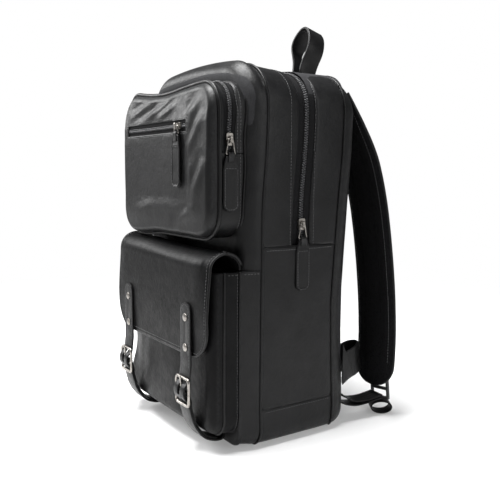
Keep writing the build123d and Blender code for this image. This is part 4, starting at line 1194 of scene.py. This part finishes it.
def tongue(inset=0.0):
    """Heights below a puller's top and its half width there, with a narrow neck and a round foot."""
    straight = PULLER_LONG - PULLER_FOOT
    foot = straight + PULLER_FOOT * np.sin(np.linspace(0, math.pi / 2, 14))[1:]
    rows = []
    for down in np.concatenate([np.linspace(0, 12, 12), np.linspace(12, straight, 20)[1:], foot]):
        half = PULLER_NECK + (PULLER_HALF - PULLER_NECK) * min(1, down / 13) ** 0.8
        if down > straight:
            half = PULLER_HALF * math.sqrt(max(0.0, 1 - ((down - straight) / PULLER_FOOT) ** 2.4))
        rows.append((down, max(half - inset, 0.02)))
    return rows


def make_puller(name, across, out):
    """A leather tab in two layers, a rim that stands round a pressed, stitched middle, and its eye."""
    node, body = name + "_zip_puller", name + "_puller"
    low, high = reach(node)
    across, out = np.array(across, float), np.array(out, float)
    facing = np.sign(np.cross(across, out)[2])
    centre = (low + high) / 2 * np.abs(across)
    top = high[2] - 4.4
    face = (high if out.sum() > 0 else low) @ out
    front = face - 0.6
    outline = tongue()
    grid = np.zeros((25, len(outline), 3))
    for j, (down, half) in enumerate(outline):
        for i, share in enumerate(np.linspace(-1, 1, 25)):
            gap = min(half * (1 - abs(share)), PULLER_LONG - down)
            rim = 0.55 * math.exp(-((gap - 1.5) / 1.1) ** 2) - 0.9 * math.exp(-(gap / 0.6) ** 2)
            fold = 0.28 * math.exp(-((down - 12) / 1.1) ** 2) - 0.1 * (down > 12)
            grid[i, j] = centre + across * half * share + out * (front + rim + fold) + UP * (top - down)
    leather = name + "_puller_leather"
    tab = sheet_piece(leather, grid, 2.6, TRIM, soft=False, outward=facing, body=None,
                      wear=np.full(grid.shape[:2], 0.12))
    border = [centre + across * half + out * (front + 3) + UP * (top - down)
              for down, half in tongue(3.0) if 14 < down < PULLER_LONG - 2.5]
    mirrored = [p - 2 * across * np.dot(p - centre, across) for p in reversed(border)]
    thread = stitches(leather + "_stitches", tab, [border + mirrored, [border[0], mirrored[-1]]], 3.2, 2.3,
                      0.32, body=None)
    turn = np.linspace(-0.5, math.pi + 0.5, 22)
    loop = EYE_RADIUS * np.stack([np.cos(turn), np.sin(turn)], 1)
    loop = np.concatenate([[(loop[0, 0], -9.0)], loop, [(loop[-1, 0], -9.0)]])[None, :]
    shares = np.linspace(-1, 1, 9)[:, None, None]
    grid = (centre + UP * (high[2] - EYE_DROP) + across * EYE_HALF * shares
            + out * (face - EYE_DROP + loop[..., :1]) + UP * loop[..., 1:])
    eye = sheet_piece(leather + "_eye", grid, 0.9, TRIM, soft=False, outward=facing, body=None)
    whole = join([tab, eye], leather)
    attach(whole, body)
    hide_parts(node)
    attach(thread, body)


make_puller("main", (0, 1, 0), (1, 0, 0))
make_puller("pocket", (0, 1, 0), (1, 0, 0))
make_puller("slot", (1, 0, 0), (0, -1, 0))

# ---------------------------------------------------------------- handle, yoke and patch


def nudged(piece, change):
    """Moves a soft piece's points by a rule in millimetres."""
    points = np.array([v.co for v in piece.data.vertices]) / MM
    piece.data.vertices.foreach_set("co", (change(points) * MM).ravel())
    piece.data.update()


def stretched(points, centre, scale):
    """Points scaled about a centre."""
    return (points - centre) * scale + centre


handle = refined("top_handle_leather", "top_handle", TRIM, None, 0.9)
patch = refined("handle_patch_leather", "handle_patch", TRIM, "root", 0.6)


def handle_shape(p):
    """The far leg is twisted edge on, so the loop stands open."""
    twist = step(-p[:, 0], -2, 9) * step(-p[:, 2], -526, -500)
    p = p * (1.25, 1, 1) + (2.5, 0, -4.4)
    p[:, 1] = 161 + (p[:, 1] - 161) * (1 - 0.42 * twist)
    return p


nudged(handle, handle_shape)
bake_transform(handle)
nudged(patch, lambda p: p + (0, 0, -4.0))
yoke = refined("strap_yoke_leather", "strap_yoke", TRIM, "root", 0.7)
margin = 3.0
patch_low, patch_high = reach("handle_patch")
stitches("handle_patch_stitches", patch,
         [rectangle(patch_low[0] + margin, patch_high[0] - margin, patch_low[1] + margin,
                    patch_high[1] - margin, upright=False, level=480)])
yoke_low, yoke_high = reach("strap_yoke")
yoke_x = np.linspace(yoke_low[0] + margin, yoke_high[0] - margin, 40)
stitches("yoke_stitches", yoke, [placed(yoke_x, 190.0, z) for z in (yoke_low[2] + margin,
                                                                    yoke_high[2] - margin)])

# ---------------------------------------------------------------- back padding
PAD_CORNER = 12.0
PAD_ROWS = ((46.0, 158.0), (166.0, 280.0), (288.0, 380.0))


def pad(x_low, x_high, z_low, z_high, thick=11.5):
    """The outer face of a foam pad: crowned, with rounded corners, sewn down all round."""
    u, v = np.meshgrid(2 * spaced(44) - 1, 2 * spaced(60) - 1, indexing="ij")
    half_x, half_z = (x_high - x_low) / 2, (z_high - z_low) / 2
    from_x, from_z = np.abs(u) * half_x, np.abs(v) * half_z
    out_x, out_z = from_x - (half_x - PAD_CORNER), from_z - (half_z - PAD_CORNER)
    diagonal = np.hypot(np.maximum(out_x, 0), np.maximum(out_z, 0))
    pull = np.minimum(1, PAD_CORNER / np.maximum(diagonal, 1e-6)) - 1
    x = (x_low + x_high) / 2 + np.sign(u) * (from_x + np.maximum(out_x, 0) * pull)
    z = (z_low + z_high) / 2 + np.sign(v) * (from_z + np.maximum(out_z, 0) * pull)
    gap = np.minimum(half_x - from_x, half_z - from_z)
    swell = thick * (0.18 + 0.82 * rounded(gap, 11)) * (0.86 + 0.14 * rounded(gap, 30))
    points = np.stack([x, back_at(x) + swell, z], 2)
    points[..., 1] += 0.5 * soft_noise(points, 26, 41) * rounded(gap, 15)
    return points


pad_end = reach("back_padding")[1][0]
for index, (z_low, z_high) in enumerate(PAD_ROWS, 1):
    for label, x_low, x_high in (("left", -pad_end, -14.0), ("right", 14.0, pad_end)):
        grid = pad(x_low, x_high, z_low, z_high)
        piece = sheet_piece(f"back_pad_{index}_{label}", grid, 1.6, MESH, soft=False, outward=-1.0,
                            replaced=["back_padding"])
        ring = np.concatenate([grid[:, 0], grid[-1, 1:], grid[-2::-1, -1], grid[0, -2:0:-1]])
        tube(f"back_pad_piping_{index}_{label}", ring + (0, 0.6, 0), 1.3, TRIM, closed=True, soft=False)

# ---------------------------------------------------------------- shoulder straps
PAD_PATH = np.array([(170.2, 432.0), (178.0, 400.0), (192.0, 361.0), (206.0, 303.0), (212.0, 237.0),
                     (214.0, 168.0), (211.0, 99.0), (200.0, 40.0)])
PAD_HALF, PAD_THICK, PAD_X, PAD_ANCHOR = 34.0, 12.0, 74.0, 424.0
SPLAY = math.radians(6)


def smooth_path(points, count, rounds=4):
    """A smooth line through rough points, by cutting its corners."""
    for _ in range(rounds):
        first = points[:-1] * 0.75 + points[1:] * 0.25
        second = points[:-1] * 0.25 + points[1:] * 0.75
        points = np.concatenate([points[:1], np.stack([first, second], 1).reshape(-1, points.shape[1]),
                                 points[-1:]])
    distances = travelled(points)
    at = np.linspace(0, distances[-1], count)
    return sampled(at, distances, points), at


def on_strap(side, across, y, z):
    """A shoulder strap's point where it lies, splayed about the middle of the strap's top seam."""
    drop = z - PAD_ANCHOR
    x = PAD_X + across * math.cos(SPLAY) - drop * math.sin(SPLAY)
    return np.stack(np.broadcast_arrays(side * x, y, PAD_ANCHOR + drop * math.cos(SPLAY)
                                        + across * math.sin(SPLAY)), -1)


def hugging(points, at):
    """A strap's upper end lies on the bulging back, so it bends round with it."""
    x = np.clip(np.abs(points[..., 0]), 40, 127)
    share = np.clip(1 - at / 95, 0, 1) ** 1.6
    points[..., 1] -= (float(back_at(40.0)) - back_at(x)) * share
    return points


def shoulder_strap(side, label):
    """A padded strap: leather outside, mesh towards the back, piping between them and sewn channels."""
    line, at = smooth_path(PAD_PATH, 150)
    line[:, 0] -= 4.4 * np.clip(1 - at / 40, 0, 1) ** 1.5
    ahead = unit(np.gradient(line, axis=0))
    out = np.stack([-ahead[:, 1], ahead[:, 0]], 1)  # away from the back
    left = at[-1] - at
    foot = np.clip(left / 30.0, 0, 1)
    half = PAD_HALF * np.sqrt(np.clip(1 - (1 - foot) ** 2.2, 0.0004, 1))
    head = np.clip(at / 45.0, 0, 1) ** 0.8
    plump = 0.22 + 0.78 * np.minimum(np.sqrt(np.clip(foot * 1.6, 0, 1)), head)
    u = 2 * spaced(34) - 1
    channels = 1.6 * (np.exp(-((u - 0.42) / 0.05) ** 2) + np.exp(-((u + 0.42) / 0.05) ** 2))
    body = f"shoulder_{label}"
    pieces = []
    for name, face, look, slot, node in (("outer", 1, TRIM, "padded_strap", [f"shoulder_strap_{label}"]),
                                         ("mesh", -1, MESH, "spacer_mesh", [])):
        profile = PAD_THICK / 2 * (0.12 + 0.80 * (1 - np.abs(u) ** 5)) - (channels if face < 0 else 0)
        thick = np.maximum(profile, 0.4)[:, None] * plump[None, :]
        place = line + face * thick[..., None] * out
        grid = hugging(on_strap(side, u[:, None] * half, place[..., 0], place[..., 1]), at[None, :])
        grid += 0.35 * soft_noise(grid, 24, 51 + face)[..., None] * (0, 1, 0)
        piece = sheet_piece(f"shoulder_strap_{name}_{label}", grid, 1.4, look, soft=False,
                            outward=-1.0 * side * face, slot=slot, body=body, replaced=node)
        pieces.append(piece)
    edge = np.concatenate([hugging(on_strap(side, half, line[:, 0], line[:, 1]), at),
                           hugging(on_strap(side, -half[::-1], line[::-1, 0], line[::-1, 1]), at[::-1])])
    tube(f"shoulder_strap_piping_{label}", edge, 2.0, TRIM, sides=10, soft=False, body=body)
    for name, piece, height in (("strap", pieces[0], 8), ("mesh", pieces[1], -9)):
        seam = line + height * out
        stitches(f"shoulder_{name}_stitches_{label}", piece,
                 [hugging(on_strap(side, sign * (half - 5.0), seam[:, 0], seam[:, 1]), at)[6:-12]
                  for sign in (-1, 1)], body=body)
    refined(f"adjuster_eye_web_{label}", f"adjuster_eye_{label}", WEBBING, body, 0.3)


for label, side in (("left", -1), ("right", 1)):
    shoulder_strap(side, label)
    run = refined(f"lower_webbing_{label}", f"webbing_{label}", WEBBING, None, 0.3)
    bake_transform(run)
    refined(f"webbing_end_{label}", f"webbing_tail_{label}", WEBBING, f"ladder_lock_{label}", 0.3)
    refined(f"ladder_lock_{label}", f"adjuster_{label}", PLASTIC, f"ladder_lock_{label}", 0.7)
tabs = refined("corner_tab_leather", "corner_tabs", TRIM, "root", 0.8)
nudged(tabs, lambda p: stretched(p, (0, 136, 54), (1, 1.1, 1.5)))
loops = refined("strap_loop_leather", "strap_loops", TRIM, "root", 0.6)
nudged(loops, lambda p: stretched(p, (0, 137, 54), (1, 1.12, 1.5)))

# ---------------------------------------------------------------- floor and light
floor_half = 12.0
floor_mesh = bpy.data.meshes.new("floor")
floor_mesh.from_pydata([(x * floor_half, y * floor_half, 0) for x, y in ((-1, -1), (1, -1), (1, 1), (-1, 1))],
                       [], [[0, 1, 2, 3]])
floor_mesh.materials.append(floor_material())
floor = bpy.data.objects.new("floor", floor_mesh)
scene.collection.objects.link(floor)
floor.location.z = -0.0005

world = bpy.data.worlds.new("studio")
world.use_nodes = True
tree = world.node_tree
seen = tree.nodes["Background"]
seen.inputs["Color"].default_value = (1, 1, 1, 1)
lit = tree.nodes.new("ShaderNodeBackground")
lit.inputs["Color"].default_value = (0.96, 0.98, 1, 1)
lit.inputs["Strength"].default_value = 0.10
path = tree.nodes.new("ShaderNodeLightPath")
blend = tree.nodes.new("ShaderNodeMixShader")
tree.links.new(path.outputs["Is Camera Ray"], blend.inputs["Fac"])
tree.links.new(lit.outputs["Background"], blend.inputs[1])
tree.links.new(seen.outputs["Background"], blend.inputs[2])
tree.links.new(blend.outputs["Shader"], tree.nodes["World Output"].inputs["Surface"])
scene.world = world
scene.view_settings.view_transform = "Standard"


def soft_box(name, place, target, size, power):
    """An area light at a place, in metres, turned to its target."""
    light = bpy.data.lights.new(name, "AREA")
    light.shape = "RECTANGLE"
    light.size, light.size_y = size
    light.energy = power
    lamp = bpy.data.objects.new(name, light)
    scene.collection.objects.link(lamp)
    lamp.location = place
    lamp.rotation_mode = "QUATERNION"
    lamp.rotation_quaternion = (Vector(target) - Vector(place)).to_track_quat("-Z", "Y")


middle = (0, 0.06, 0.24)
soft_box("key", (-0.8, -1.3, 1.5), middle, (0.8, 0.8), 5)
soft_box("left", (-1.6, -0.9, 1.15), middle, (0.9, 0.9), 30)
soft_box("side", (2.0, 0.6, 1.1), middle, (0.7, 1.5), 16)
soft_box("top", (-0.1, -0.3, 1.9), middle, (1.0, 1.0), 95)
